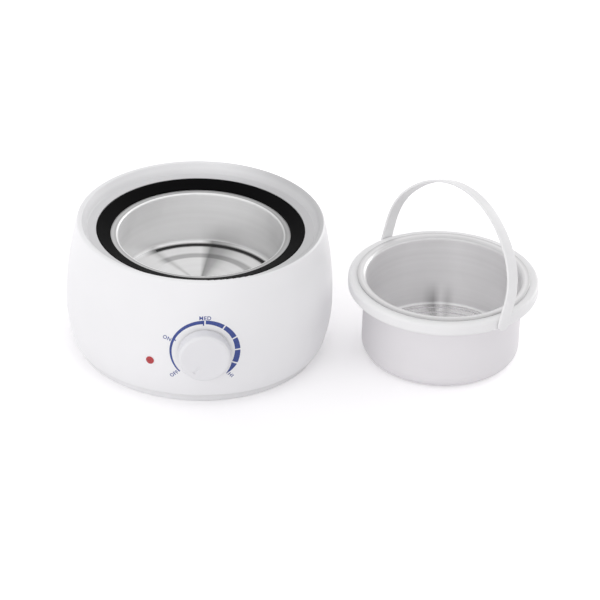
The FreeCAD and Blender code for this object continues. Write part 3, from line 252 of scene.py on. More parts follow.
class Recipe(Tree):
    """One material, from its coordinates to its output."""

    def __init__(self, name: str) -> None:
        """Makes an empty material.

        Args:
            name: Its name.
        """
        self.material = bpy.data.materials.new(name)
        self.material.use_nodes = True
        super().__init__(self.material.node_tree)

    def place(self, centre: Point = ORIGIN) -> Wire:
        """Returns the object's own coordinates, counted from a centre."""
        here = self.wire("ShaderNodeTexCoord", output="Object")
        return self.wire("ShaderNodeVectorMath", {"operation": "SUBTRACT"}, {0: here, 1: centre})

    def noise(self, where: Wire, feature: float, detail: float = 2.0, layer: int = 0) -> Wire:
        """Returns a cloudy pattern.

        Args:
            where: The coordinates, in metres.
            feature: The size of its patches, in metres.
            detail: How many finer layers it has.
            layer: Which of the material's patterns it is.

        Returns:
            A value round 0.5.
        """
        sockets = {"Vector": where, "W": SEED + layer, "Scale": 1 / feature, "Detail": detail}
        return self.wire("ShaderNodeTexNoise", {"noise_dimensions": "4D"}, sockets)

    def lines(self, along: Wire, pitch: float, detail: float = 3.0) -> Wire:
        """Returns uneven lines across a direction, a pitch in metres apart."""
        sockets = {"W": along, "Scale": 1 / pitch, "Detail": detail}
        return self.wire("ShaderNodeTexNoise", {"noise_dimensions": "1D"}, sockets)

    def ramp(self, along: Wire, tones: Tones) -> Wire:
        """Reads a level of grey off tones.

        Args:
            along: The value that runs through them.
            tones: Places along the value, each with its level.

        Returns:
            The level.
        """
        first, last = tones[0][0], tones[-1][0]
        stops = [((place - first) / (last - first), level) for place, level in tones]
        return self.wire("ShaderNodeValToRGB", {"stops": stops}, {0: (along - first) / (last - first)})

    def blend(self, mask: Wire, low: tuple | Wire, high: tuple | Wire) -> Wire:
        """Returns one colour where the mask is 0 and the other where it is 1."""
        return self.wire("ShaderNodeMix", {"data_type": "RGBA"}, {0: mask, 6: low, 7: high}, 2)

    def shades(self, mask: Wire, colour: Colour, low: float, high: float) -> Wire:
        """Returns a colour times one factor where the mask is 0, and times the other where it is 1."""
        return self.blend(mask, shade(colour, low), shade(colour, high))

    def bump(self, height: Wire, depth: float) -> Wire:
        """Returns the normal of a relief whose 0 and 1 lie a depth in metres apart."""
        return self.wire("ShaderNodeBump", None, {"Strength": 1.0, "Distance": depth, "Height": height})

    def surface(self, sockets: Sockets) -> bpy.types.Material:
        """Ends the recipe in one Principled shader with these sockets, and returns the material."""
        return self.end(self.wire("ShaderNodeBsdfPrincipled", None, sockets))

    def end(self, shader: Wire) -> bpy.types.Material:
        """Ends the recipe in a shader, and returns the material."""
        self.node("ShaderNodeOutputMaterial", None, {"Surface": shader})
        return self.material


# ---------------------------------------------------------------- finishes


@dataclass(frozen=True)
class Finish:
    """A surface with a name and a main colour in linear light, its pattern counted from a centre."""

    name: str
    colour: Colour
    centre: Point = field(default=ORIGIN, kw_only=True)

    def make(self) -> bpy.types.Material:
        """Returns the finish as a material."""
        recipe = Recipe(self.name)
        return recipe.surface(self.sockets(recipe, recipe.place(self.centre)))

    def sockets(self, recipe: Recipe, place: Wire) -> Sockets:
        """Works out the shader's sockets.

        Args:
            recipe: The material's recipe.
            place: The object's own coordinates, counted from the centre.

        Returns:
            The sockets that aren't left at their defaults.
        """
        raise NotImplementedError


class Skin(Enum):
    """How a moulded surface left its mould: roughness, its spread, grain size and grain depth."""

    GLOSS = (0.32, 0.05, 2.6 * MM, 0.006 * MM)
    SATIN = (0.42, 0.06, 0.9 * MM, 0.006 * MM)
    MATT = (0.55, 0.08, 0.35 * MM, 0.010 * MM)
    WAXY = (0.36, 0.07, 1.6 * MM, 0.008 * MM)


@dataclass(frozen=True)
class MouldedPlastic(Finish):
    """Injection-moulded plastic with a faint flow pattern, fine grain and handling marks.

    Its colour holds painted shade: darker in a recess by the distance from the frame's upright axis, and
    darker again on the +X side only, where shade falls.
    """

    skin: Skin = Skin.SATIN
    milky: float = 0.0
    shine: float = 0.5
    recess_painted_shade: Tones = PLAIN
    side_painted_shade: Tones = PLAIN
    flow_size: float = 70 * MM
    rub_size: float = 9 * MM
    milk_reach: float = 3 * MM

    def sockets(self, recipe: Recipe, place: Wire) -> Sockets:
        """Works out the plastic's sockets.

        Args:
            recipe: The material's recipe.
            place: The object's own coordinates, counted from the centre.

        Returns:
            The sockets that aren't left at their defaults.
        """
        roughness, spread, grain, depth = self.skin.value
        x, y, _ = recipe.split(place)
        radius = (x * x + y * y).root()
        # Painted shade: the +X side darkens by its own tones, and the recess by the tones of the distance
        # from the axis; the base colour fades towards black there.
        rightwards = (x / radius).step(0.1, 0.85)
        side = 1 - rightwards * (1 - recipe.ramp(radius, self.side_painted_shade))
        painted_shade = recipe.ramp(radius, self.recess_painted_shade) * side
        flow = recipe.noise(place, self.flow_size).step(*SOFT)
        rubbed = recipe.noise(place, self.rub_size, 4.0, 1)
        return {
            "Base Color": recipe.blend(painted_shade, BLACK, recipe.shades(flow, self.colour, 0.985, 1.012)),
            "Roughness": roughness + (rubbed - 0.5) * spread * 2,
            "Normal": recipe.bump(recipe.noise(place, grain, 1.0, 2), depth),
            "Subsurface Weight": self.milky,
            "Subsurface Radius": (self.milk_reach,) * 3,
            "Subsurface Scale": 1.0,
            "Specular IOR Level": self.shine,
            "IOR": PLASTIC_INDEX,
        }


@dataclass(frozen=True)
class SpunMetal(Finish):
    """Drawn metal with turned lines round its centre: a satin wall over a polished floor.

    Its colour holds painted reflections and painted shade, whose tones follow the radius on the rim and the
    floor, in metres, and the turn about the centre on the floor and the wall, in half turns. Its outside,
    if it shows, is plain, pale and dull.
    """

    floor_top: float
    floor_reach: float
    wall_roughness: float = 0.42
    floor_roughness: float = 0.20
    line_pitch: float = 0.35 * MM
    line_depth: float = 0.001 * MM
    band_lines: int = 14
    cloud_size: float = 16 * MM
    anisotropy: float = 0.45
    rim_painted_shade: Tones = PLAIN
    floor_painted_reflection_and_shade: Tones = PLAIN
    sector_painted_reflection: Tones = PLAIN
    painted_highlight_tones: Tones = ((0.0, 0.0), (1.0, 0.0))
    wall_painted_reflection: Tones = PLAIN
    sector_rise: float = 0.5 * MM
    painted_light_contrast: float = 1.0
    metallic: float = 1.0
    milkiness: float = 0.0
    outside_from: float = 1.0
    outside_top: float = 58.5 * MM
    outside_bottom: float = 5.4 * MM
    outside_blur: float = 0.05 * MM
    outside_colour: Colour = (0.80, 0.785, 0.803)
    outside_metallic: float = 0.2
    outside_roughness: float = 0.62

    def sockets(self, recipe: Recipe, place: Wire) -> Sockets:
        """Works out the metal's sockets.

        Args:
            recipe: The material's recipe.
            place: The object's own coordinates, counted from the centre.

        Returns:
            The sockets that aren't left at their defaults.
        """
        x, y, z = recipe.split(place)
        radius = (x * x + y * y).root()
        fine = recipe.lines(radius + z, self.line_pitch)
        bands = recipe.lines(radius + z, self.line_pitch * self.band_lines, 1.0)
        clouds = recipe.noise(place, self.cloud_size, 3.0)
        mixed = (fine * 0.45 + bands * 0.35 + clouds * 0.2).step(*SOFT)
        metal = recipe.shades(mixed, self.colour, 0.97, 1.03)
        polished = self.polished(radius, z)
        # Painted reflections and painted shade, which darken the metal's colour below.
        level = self.level(recipe, radius, y.angle_to(x) / math.pi, z, polished)
        outside = self.outside(radius, z)
        rolled = recipe.shades(clouds, self.outside_colour, 0.985, 1.015)
        roughness = self.wall_roughness - polished * (self.wall_roughness - self.floor_roughness)
        roughness = roughness + (fine - 0.5) * 0.05 + (clouds - 0.5) * 0.05
        dulled = self.metallic - outside * (self.metallic - self.outside_metallic)
        return {
            "Base Color": recipe.blend(outside, recipe.blend(level ** self.painted_light_contrast, BLACK, metal), rolled),
            "Metallic": dulled - polished * self.milkiness,
            "Roughness": roughness * (1 - outside) + outside * self.outside_roughness,
            "Anisotropic": self.anisotropy,
            "Anisotropic Rotation": 0.25,
            "Normal": recipe.bump(fine * (1 - outside), self.line_depth),
        }

    def level(self, recipe: Recipe, radius: Wire, turn: Wire, z: Wire, polished: Wire) -> Wire:
        """Lays the painted reflections and painted shade over each other.

        Args:
            recipe: The material's recipe.
            radius: The distance from the centre.
            turn: The turn about the centre, in half turns.
            z: The height.
            polished: 1 on the floor.

        Returns:
            How light the metal is painted, from 0 to 1, standing in for reflections and shade.
        """
        # Painted reflections: dark and light sectors near the floor, painted shade on the rim, bands on the
        # floor that a painted highlight band lifts, and one side of the wall darker.
        past = turn - turn.floor()
        glow = 1 - recipe.ramp(past, self.painted_highlight_tones)
        near_floor = z.step(self.floor_top + self.sector_rise, self.floor_top)
        level = 1 - near_floor * (1 - recipe.ramp(past, self.sector_painted_reflection))
        level = level * recipe.ramp(radius, self.rim_painted_shade)
        level = level * (1 - polished * (1 - recipe.ramp(radius, self.floor_painted_reflection_and_shade)) * glow)
        return level * (1 - (1 - polished) * (1 - recipe.ramp(turn, self.wall_painted_reflection)))

    def polished(self, radius: Wire, z: Wire) -> Wire:
        """Returns 1 on the floor and 0 elsewhere."""
        level = z.step(self.floor_top + MM, self.floor_top - MM)
        return radius.step(self.floor_reach + MM, self.floor_reach - MM) * level

    def outside(self, radius: Wire, z: Wire) -> Wire:
        """Finds the outside under the rim, round its corner and below.

        Args:
            radius: The distance from the centre.
            z: The height.

        Returns:
            1 on the outside and 0 elsewhere.
        """
        edge, side = self.outside_from, self.outside_blur
        low, high = self.outside_bottom - 2 * side, self.outside_bottom + 2 * side
        inner, above = radius.step(edge + side, edge - side), z.step(low, high)
        return (1 - inner * above) * z.step(self.outside_top + MM, self.outside_top)


@dataclass(frozen=True)
class PlatedMetal(Finish):
    """Plated or rolled metal with a rolling grain, clouds of tarnish and fine scratches."""

    tarnish: Colour = (0.40, 0.40, 0.38)
    roughness: float = 0.30
    grain: float = 1.2 * MM
    grain_stretch: float = 6.0
    scratch_size: float = 2 * MM
    scratch_stretch: float = 9.0
    scratch_depth: float = 0.004 * MM
    cloud_size: float = 7 * MM
    tarnish_amount: float = 0.7

    def sockets(self, recipe: Recipe, place: Wire) -> Sockets:
        """Works out the metal's sockets.

        Args:
            recipe: The material's recipe.
            place: The object's own coordinates, counted from the centre.

        Returns:
            The sockets that aren't left at their defaults.
        """
        x, y, z = recipe.split(place)
        narrow, thin = self.grain_stretch, self.scratch_stretch
        rolled = recipe.noise(recipe.point(x * narrow, y * narrow, z), self.grain, 3.0, 1)
        scratches = recipe.noise(recipe.point(x, y * thin, z * thin), self.scratch_size, 5.0, 2)
        dulled = recipe.noise(place, self.cloud_size, 3.0).step(*PATCHY) * self.tarnish_amount
        return {
            "Base Color": recipe.blend(dulled, shade(self.colour), shade(self.tarnish)),
            "Metallic": 1.0,
            "Roughness": self.roughness + dulled * 0.15 + (rolled - 0.5) * 0.12,
            "Normal": recipe.bump(scratches, self.scratch_depth),
        }


@dataclass(frozen=True)
class Rubber(Finish):
    """Matt rubber with dust in its pores."""

    dust: Colour = (0.16, 0.155, 0.15)
    dust_size: float = 6 * MM
    dust_amount: float = 0.35
    pore_size: float = 0.5 * MM
    pore_depth: float = 0.02 * MM
    roughness: float = 0.66

    def sockets(self, recipe: Recipe, place: Wire) -> Sockets:
        """Works out the rubber's sockets.

        Args:
            recipe: The material's recipe.
            place: The object's own coordinates, counted from the centre.

        Returns:
            The sockets that aren't left at their defaults.
        """
        dusty = recipe.noise(place, self.dust_size, 4.0, 1).step(0.5, 0.75)
        return {
            "Base Color": recipe.blend(dusty * self.dust_amount, shade(self.colour), shade(self.dust)),
            "Roughness": self.roughness + dusty * 0.16,
            "Normal": recipe.bump(recipe.noise(place, self.pore_size), self.pore_depth),
            "Specular IOR Level": 0.35,
        }


@dataclass(frozen=True)
class Ceramic(Finish):
    """Unglazed steatite with dark specks and a sandy surface."""

    speck: Colour = (0.25, 0.22, 0.18)
    speck_size: float = 1.1 * MM
    speck_amount: float = 0.5
    sand_size: float = 0.4 * MM
    sand_depth: float = 0.012 * MM
    roughness: float = 0.62

    def sockets(self, recipe: Recipe, place: Wire) -> Sockets:
        """Works out the ceramic's sockets.

        Args:
            recipe: The material's recipe.
            place: The object's own coordinates, counted from the centre.

        Returns:
            The sockets that aren't left at their defaults.
        """
        sand = recipe.noise(place, self.sand_size, 3.0)
        specks = recipe.noise(place, self.speck_size, 1.0, 1).step(0.72, 0.8)
        body = recipe.shades(sand, self.colour, 0.93, 1.03)
        return {
            "Base Color": recipe.blend(specks * self.speck_amount, body, shade(self.speck)),
            "Roughness": self.roughness + (sand - 0.5) * 0.2,
            "Normal": recipe.bump(sand, self.sand_depth),
        }


@dataclass(frozen=True)
class GlassCloth(Finish):
    """Woven glass-fibre cloth or sleeving, with threads along and round the heater's axis."""

    thread: float = 0.9 * MM
    wrapped_radius: float = 63.0 * MM
    slant: float = 0.15
    relief: float = 0.18 * MM
    fuzz_size: float = 0.5 * MM
    scorch: Colour = (0.50, 0.38, 0.22)
    scorch_size: float = 18 * MM
    scorch_amount: float = 0.3
    roughness: float = 0.74

    def sockets(self, recipe: Recipe, place: Wire) -> Sockets:
        """Works out the cloth's sockets.

        Args:
            recipe: The material's recipe.
            place: The object's own coordinates, counted from the centre.

        Returns:
            The sockets that aren't left at their defaults.
        """
        x, y, z = recipe.split(place)
        across = y.angle_to(x) * (math.pi * self.wrapped_radius / self.thread)
        upward = (z + (x + y) * self.slant) * (math.pi / self.thread)
        over = (across.sine() * upward.sine()).step(-0.3, 0.3)
        weave = over * across.cosine().size() + (1 - over) * upward.cosine().size()
        fuzz = recipe.noise(place, self.fuzz_size, 3.0)
        scorched = recipe.noise(place, self.scorch_size, 3.0, 1).step(0.45, 0.8)
        cloth = recipe.shades(weave * 0.7 + fuzz * 0.3, self.colour, 0.72, 1.05)
        return {
            "Base Color": recipe.blend(scorched * self.scorch_amount, cloth, shade(self.scorch)),
            "Roughness": self.roughness - weave * 0.16,
            "Normal": recipe.bump(weave + fuzz * 0.3, self.relief),
            "Sheen Weight": 0.3,
        }


@dataclass(frozen=True)
class Bimetal(Finish):
    """Two metals rolled together at the centre's depth: a steel face, a bronze face and heat colours."""

    bronze: Colour = (0.58, 0.36, 0.20)
    bond: float = 0.05 * MM
    line_pitch: float = 0.3 * MM
    line_depth: float = 0.003 * MM
    heat: Colour = (0.34, 0.24, 0.30)
    heat_size: float = 8 * MM
    heat_amount: float = 0.3
    roughness: float = 0.3

    def sockets(self, recipe: Recipe, place: Wire) -> Sockets:
        """Works out the bonded metals' sockets.

        Args:
            recipe: The material's recipe.
            place: The object's own coordinates, counted from the centre.

        Returns:
            The sockets that aren't left at their defaults.
        """
        _, depth, height = recipe.split(place)
        rolled = recipe.lines(height, self.line_pitch)
        heated = recipe.noise(place, self.heat_size).step(*PATCHY)
        faces = recipe.blend(depth.step(-self.bond, self.bond), shade(self.colour), shade(self.bronze))
        return {
            "Base Color": recipe.blend(heated * self.heat_amount, faces, shade(self.heat)),
            "Metallic": 1.0,
            "Roughness": self.roughness + (rolled - 0.5) * 0.14,
            "Normal": recipe.bump(rolled, self.line_depth),
        }


@dataclass(frozen=True)
class TintedLens(Finish):
    """A clear coloured lens with moulded rings behind its polished face."""

    ring_pitch: float = 0.62 * MM
    ring_depth: float = 0.02 * MM
    core_reach: float = 3.2 * MM
    core_middle: float = 0.6 * MM
    roughness: float = 0.16

    def sockets(self, recipe: Recipe, place: Wire) -> Sockets:
        """Works out the lens's sockets.

        Args:
            recipe: The material's recipe.
            place: The object's own coordinates, counted from the centre.

        Returns:
            The sockets that aren't left at their defaults.
        """
        reach = recipe.length(place)
        rings = (reach * (FULL_TURN / self.ring_pitch)).sine() * 0.5 + 0.5
        core = reach.step(self.core_reach, self.core_middle)
        return {
            "Base Color": recipe.shades(core * 0.6 + rings * 0.2, self.colour, 0.75, 1.25),
            "Roughness": self.roughness + rings * 0.08,
            "Normal": recipe.bump(rings, self.ring_depth),
            "Transmission Weight": 0.25,
            "Coat Weight": 0.6,
            "Coat Roughness": 0.05,
            "IOR": PLASTIC_INDEX,
        }


@dataclass(frozen=True)
class LampGlass(Finish):
    """Thin clear glass with a smoky getter patch."""

    getter: Colour = (0.35, 0.33, 0.32)
    smoke_size: float = 3 * MM
    smoke_amount: float = 0.5
    roughness: float = 0.05

    def sockets(self, recipe: Recipe, place: Wire) -> Sockets:
        """Works out the glass's sockets.

        Args:
            recipe: The material's recipe.
            place: The object's own coordinates, counted from the centre.

        Returns:
            The sockets that aren't left at their defaults.
        """
        smoke = recipe.noise(place, self.smoke_size).step(0.4, 0.8)
        return {
            "Base Color": recipe.blend(smoke * self.smoke_amount, shade(self.colour), shade(self.getter)),
            "Roughness": self.roughness + smoke * 0.1,
            "Transmission Weight": 0.85,
            "IOR": GLASS_INDEX,
        }


@dataclass(frozen=True)
class Coating(Finish):
    """A lead's insulation or printed ink: soft patches of light and dark over a fine grain."""

    patch: float = 5 * MM
    grain: float = 0.3 * MM
    dark: float = 0.88
    light: float = 1.08
    roughness: float = 0.46
    spread: float = 0.18
    depth: float = 0.006 * MM

    def sockets(self, recipe: Recipe, place: Wire) -> Sockets:
        """Works out the coating's sockets.

        Args:
            recipe: The material's recipe.
            place: The object's own coordinates, counted from the centre.

        Returns:
            The sockets that aren't left at their defaults.
        """
        patches = recipe.noise(place, self.patch, 3.0)
        return {
            "Base Color": recipe.shades(patches.step(*SOFT), self.colour, self.dark, self.light),
            "Roughness": self.roughness + (patches - 0.5) * self.spread,
            "Normal": recipe.bump(recipe.noise(place, self.grain, 1.0, 1), self.depth),
        }


class Paints:
    """The finish of every material slot, made into a material when it is first used."""

    def __init__(self, finishes: dict[str, Finish]) -> None:
        """Keeps the finishes by slot."""
        self.finishes = finishes
        self.made: dict[str, bpy.types.Material] = {}

    def __getitem__(self, slot: str) -> bpy.types.Material:
        """Looks up a material.

        Args:
            slot: Its slot.

        Returns:
            The material.
        """
        if slot not in self.made:
            self.made[slot] = self.finishes[slot].make()
        return self.made[slot]


def bowl_metal() -> SpunMetal:
    """Describes the heating bowl's metal, with painted shade on the flange and in the fold round the floor,
    and painted reflections in rings, sectors and a bright band.

    Returns:
        The finish.
    """
    return SpunMetal(
        "Bowl aluminium", (0.98, 0.98, 0.98), floor_top=47.0 * MM, floor_reach=57.4 * MM,
        centre=(*middle("heating_bowl").xy, 0.0), painted_light_contrast=0.5, metallic=0.70, milkiness=0.4,
        # These tones are painted shade and painted reflections.
        rim_painted_shade=tones_mm((58.4, 1.0), (59.4, 0.95), (60.2, 0.2), (62.0, 0.38), (63.6, 0.30)),
        floor_painted_reflection_and_shade=tones_mm((0.0, 0.8), (36.0, 1.0), (38.5, 0.3), (42.5, 0.3), (45.0, 1.0), (52.0, 1.0),
                             (54.0, 0.0), (57.2, 0.0), (58.0, 0.9)),
        sector_painted_reflection=((0.0, 0.8), (0.2, 0.9), (0.3, 0.7), (0.38, 0.25), (0.44, 0.12), (0.485, 1.0),
                      (0.655, 1.0), (0.69, 0.5), (0.725, 1.0), (1.0, 1.0)),
        painted_highlight_tones=((0.0, 0.0), (0.68, 0.0), (0.75, 0.95), (0.82, 0.95), (0.88, 0.0), (1.0, 0.0)),
        wall_painted_reflection=((-1.0, 1.0), (-0.5, 0.9), (0.0, 0.5), (0.3, 0.9), (0.55, 0.95), (0.7, 1.0), (1.0, 1.0)))


def pot_metal() -> SpunMetal:
    """Describes the melting pot's metal, which is dull outside, with painted shade on its rim and floor
    corner and painted reflections in streaks on its floor and wall.

    Returns:
        The finish.
    """
    return SpunMetal(
        "Pot aluminium", (0.93, 0.925, 0.93), floor_top=6.2 * MM, floor_reach=53.5 * MM,
        centre=(*middle("wax_pot").xy, 0.0),
        wall_roughness=0.40, line_pitch=0.28 * MM, outside_from=55.2 * MM, sector_rise=22 * MM,
        painted_light_contrast=0.7, metallic=0.72,
        # These tones are painted shade and painted reflections.
        rim_painted_shade=tones_mm((55.1, 1.0), (55.7, 0.6), (58.5, 0.8), (61.4, 0.5)),
        floor_painted_reflection_and_shade=tones_mm((0.0, 0.9), (51.5, 1.0), (54.5, 0.35), (55.1, 0.7)),
        sector_painted_reflection=((0.0, 0.9), (0.41, 0.94), (0.44, 0.7), (0.47, 1.0), (0.5, 0.48), (0.55, 0.9),
                      (1.0, 0.9)))


def mix_paints() -> Paints:
    """Lists the finish of each material slot, and of the dial's ink.

    Returns:
        The paints.
    """
    return Paints({
        "housing_white": MouldedPlastic(
            "Housing white", (0.88, 0.88, 0.892), Skin.GLOSS,
            # Painted shade in the recess round the ring, and more painted shade inside the lip on the +X
            # side.
            recess_painted_shade=tones_mm((73.9, 0.78), (80.4, 0.84), (82.4, 1.0), (95.0, 1.0)),
            side_painted_shade=tones_mm((73.9, 0.82), (81.0, 0.8), (84.4, 0.6), (86.2, 0.6), (87.0, 1.0))),
        "base_white": MouldedPlastic("Base white", (0.85, 0.85, 0.86)),
        "screw_steel": PlatedMetal("Zinc plate", (0.62, 0.62, 0.60)),
        "pad_rubber": Rubber("Pad rubber", (0.022, 0.022, 0.022)),
        "ring_black": MouldedPlastic("Ring black", (0.0015, 0.0015, 0.0017), Skin.MATT, shine=0.04),
        "bowl_aluminium": bowl_metal(),
        "clip_steel": PlatedMetal("Spring steel", (0.56, 0.56, 0.56), roughness=0.26),
        "band_steel": PlatedMetal("Band steel", (0.52, 0.51, 0.49), (0.36, 0.30, 0.24), 0.36),
        "wrap_fibre": GlassCloth("Glass fibre", (0.76, 0.73, 0.66)),
        "tab_brass": PlatedMetal("Brass", (0.80, 0.58, 0.24), (0.45, 0.28, 0.12), 0.27),
        "bimetal": Bimetal("Bimetal", (0.56, 0.54, 0.52), centre=(0.0, -64.9 * MM, 0.0)),
        "stack_ceramic": Ceramic("Steatite", (0.78, 0.74, 0.66)),
        "lens_red": TintedLens("Lens red", (0.72, 0.016, 0.028), centre=tuple(middle("pilot_lens"))),
        "lamp_glass": LampGlass("Lamp glass", (0.92, 0.91, 0.90)),
        "sleeve_black": Rubber("Shrink sleeve", (0.018, 0.018, 0.018)),
        "inlet_black": MouldedPlastic("Inlet black", (0.012, 0.012, 0.013), Skin.MATT),
        "contact_nickel": PlatedMetal("Nickel", (0.74, 0.72, 0.68), (0.55, 0.52, 0.46), 0.18),
        "lead_brown": Coating("Brown lead", (0.115, 0.038, 0.014)),
        "lead_white": Coating("White lead", (0.72, 0.72, 0.70)),
        "lead_blue": Coating("Blue lead", (0.022, 0.085, 0.42)),
        "knob_white": MouldedPlastic("Knob white", (0.80, 0.80, 0.82), Skin.GLOSS),
        "shaft_steel": PlatedMetal("Turned steel", (0.58, 0.58, 0.58), roughness=0.22),
        "pot_aluminium": pot_metal(),
        "collar_white": MouldedPlastic("Collar white", (0.86, 0.86, 0.865), Skin.WAXY, milky=0.25),
        "bail_white": MouldedPlastic("Bail white", (0.86, 0.86, 0.865), Skin.WAXY, milky=0.15),
        "ink": Coating("Dial ink", (0.034, 0.062, 0.26), 1.4 * MM, 0.35 * MM, 0.85, 1.18, 0.42, 0.2,
                       0.004 * MM),
    })


# ---------------------------------------------------------------- mesh tools


def show(name: str, data: bpy.types.ID) -> bpy.types.Object:
    """Makes an object and links it to the scene.

    Args:
        name: Its name.
        data: Its mesh, text, light or camera.

    Returns:
        The object.
    """
    made = bpy.data.objects.new(name, data)
    bpy.context.scene.collection.objects.link(made)
    return made


def new_piece(name: str, points: Sequence[Point], faces: Sequence[Sequence[int]]) -> bpy.types.Object:
    """Makes a smooth piece whose faces point outwards.

    Args:
        name: The piece's name.
        points: Its points, in metres.
        faces: Its faces, as point numbers.

    Returns:
        The piece, with its object at the origin.
    """
    mesh = bpy.data.meshes.new(name)
    mesh.from_pydata([tuple(map(float, point)) for point in points], [], faces)
    work = bmesh.new()
    work.from_mesh(mesh)
    bmesh.ops.remove_doubles(work, verts=work.verts, dist=SAME_PLACE)
    bmesh.ops.recalc_face_normals(work, faces=work.faces)
    work.to_mesh(mesh)
    work.free()
    mesh.shade_smooth()
    return show(name, mesh)


def quads(rows: int, count: int, closed: bool = True) -> list[list[int]]:
    """Joins rows of points with faces.

    Args:
        rows: How many rows there are.
        count: How many points each row has.
        closed: Whether a row's last point meets its first.

    Returns:
        The faces, as point numbers.
    """
    faces = []
    for here in range(0, (rows - 1) * count, count):
        there = here + count
        for step in range(count if closed else count - 1):
            after = (step + 1) % count
            faces.append([here + step, here + after, there + after, there + step])
    return faces


def tube(name: str, points: Sequence[Point], count: int) -> bpy.types.Object:
    """Makes a piece from closed rows of so many points, with a face at each end."""
    ends = [list(range(count)), list(range(len(points) - count, len(points)))]
    return new_piece(name, points, quads(len(points) // count, count) + ends)


def turned(name: str, profile: Outline, steps: int,
           ridge: Callable[[float, float], float] | None = None) -> bpy.types.Object:
    """Turns an outline round +Z.

    Args:
        name: The piece's name.
        profile: Radius and height of each point, from pole to pole.
        steps: How many points go round.
        ridge: Gives what the radius grows by at an angle and a height, for a thread.

    Returns:
        The closed piece.
    """
    points: list[Point] = []
    for radius, height in profile:
        for step in range(steps):
            angle = FULL_TURN * step / steps
            reach = radius + (ridge(angle, height) if ridge else 0.0)
            points.append((reach * math.cos(angle), reach * math.sin(angle), height))
    return tube(name, points, steps)


def rounded_corner(radius: float, height: float, corner: float, start: float, count: int = 6) -> Outline:
    """Returns a quarter round of an outline.

    Args:
        radius: Its centre's distance from the axis.
        height: Its centre's height.
        corner: Its own radius.
        start: The angle of its first point, in quarter turns.
        count: How many steps it has.

    Returns:
        Radius and height of each point.
    """
    turns = [(start + step / count) * QUARTER_TURN for step in range(count + 1)]
    return [(radius + corner * math.cos(turn), height + corner * math.sin(turn)) for turn in turns]


def plain_mesh(thing: bpy.types.Object) -> bpy.types.Mesh:
    """Works out the mesh that an object comes to.

    Args:
        thing: A text, or a piece with its modifiers.

    Returns:
        The mesh.
    """
    bpy.context.view_layer.update()
    graph = bpy.context.evaluated_depsgraph_get()
    return bpy.data.meshes.new_from_object(thing.evaluated_get(graph))


def settle(piece: bpy.types.Object) -> None:
    """Turns a piece's modifiers into its mesh.

    Args:
        piece: The piece.
    """
    mesh = plain_mesh(piece)
    piece.modifiers.clear()
    piece.data = mesh


def crease(piece: bpy.types.Object, degrees: float) -> None:
    """Makes the edges sharp that bend by more than so many degrees."""
    piece.data.set_sharp_from_angle(angle=math.radians(degrees))


def join(name: str, pieces: Sequence[bpy.types.Object]) -> bpy.types.Object:
    """Joins pieces into a new one, and removes them.

    Args:
        name: The new piece's name.
        pieces: The pieces.

    Returns:
        The new piece.
    """
    work = bmesh.new()
    mesh = bpy.data.meshes.new(name)
    for piece in pieces:
        work.from_mesh(piece.data)
    work.to_mesh(mesh)
    work.free()
    mesh.shade_smooth()
    joined = show(name, mesh)
    for piece in pieces:
        bpy.data.objects.remove(piece)
    return joined


def put(piece: bpy.types.Object, place: Matrix) -> None:
    """Moves a piece's mesh, with its object left at the origin."""
    piece.data.transform(place)
    piece.data.update()


def hand_over(piece: bpy.types.Object, body: str, paint: bpy.types.Material) -> None:
    """Paints a finished piece and fixes it to the body that it moves with.

    Args:
        piece: The piece, in place.
        body: The body.
        paint: The piece's material.
    """
    piece.data.materials.clear()
    piece.data.materials.append(paint)
    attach(piece, body)
    LOG.info("%s: %d faces on %s", piece.name, len(piece.data.polygons), body)


class GrowthTree(Tree):
    """A Geometry Nodes tree with named inputs, ending in Realize Instances and Set Material."""

    inputs: dict[str, str] = {}

    def __init__(self, name: str) -> None:
        """Builds the tree.

        Args:
            name: Its name.
        """
        super().__init__(bpy.data.node_groups.new(name, "GeometryNodeTree"))
        face = self.tree.interface
        face.new_socket("Geometry", in_out="INPUT", socket_type="NodeSocketGeometry")
        self.keys = {
            label: face.new_socket(label, in_out="INPUT", socket_type="NodeSocket" + kind).identifier
            for label, kind in {**self.inputs, "Material": "Material"}.items()
        }
        face.new_socket("Geometry", in_out="OUTPUT", socket_type="NodeSocketGeometry")
        self.given = self.node("NodeGroupInput").outputs
        whole = self.wire("GeometryNodeRealizeInstances", None, {0: self.shape()})
        painted = self.wire("GeometryNodeSetMaterial", None, {0: whole, "Material": self.input("Material")})
        self.node("NodeGroupOutput", None, {0: painted})

    def input(self, label: str) -> Wire:
        """Returns a named input of the tree."""
        return Wire(self, self.given[label])

    def shape(self) -> Wire:
        """Returns the geometry that the tree makes."""
        raise NotImplementedError

    def grow(self, piece: bpy.types.Object, paint: bpy.types.Material, **sizes: float) -> None:
        """Runs the tree on a piece and keeps the result as its mesh.

        Args:
            piece: What the tree starts from.
            paint: The material that the tree sets.
            sizes: The tree's inputs, with _ for a space.
        """
        modifier = piece.modifiers.new(self.tree.name, "NODES")
        modifier.node_group = self.tree
        for label, value in {"Material": paint, **sizes}.items():
            modifier[self.keys[label.replace("_", " ")]] = value
        settle(piece)


class RingOfPieces(GrowthTree):
    """Sets copies of a piece in a ring round +Z, each turned to face outwards."""

    inputs = {"Count": "Int", "Ring radius": "Float", "Start angle": "Float"}

    def shape(self) -> Wire:
        """Sets out the copies.

        Returns:
            The copies.
        """
        count, reach = self.input("Count"), self.input("Ring radius")
        turn = self.input("Start angle") + self.wire("GeometryNodeInputIndex") * (FULL_TURN / count)
        place = self.point(turn.cosine() * reach, turn.sine() * reach, 0.0)
        points = self.wire("GeometryNodePoints", None, {"Count": count, "Position": place})
        facing = self.wire("FunctionNodeEulerToRotation", None, {0: self.point(0.0, 0.0, turn)})
        sockets = {"Points": points, "Instance": self.input("Geometry"), "Rotation": facing}
        return self.wire("GeometryNodeInstanceOnPoints", None, sockets)


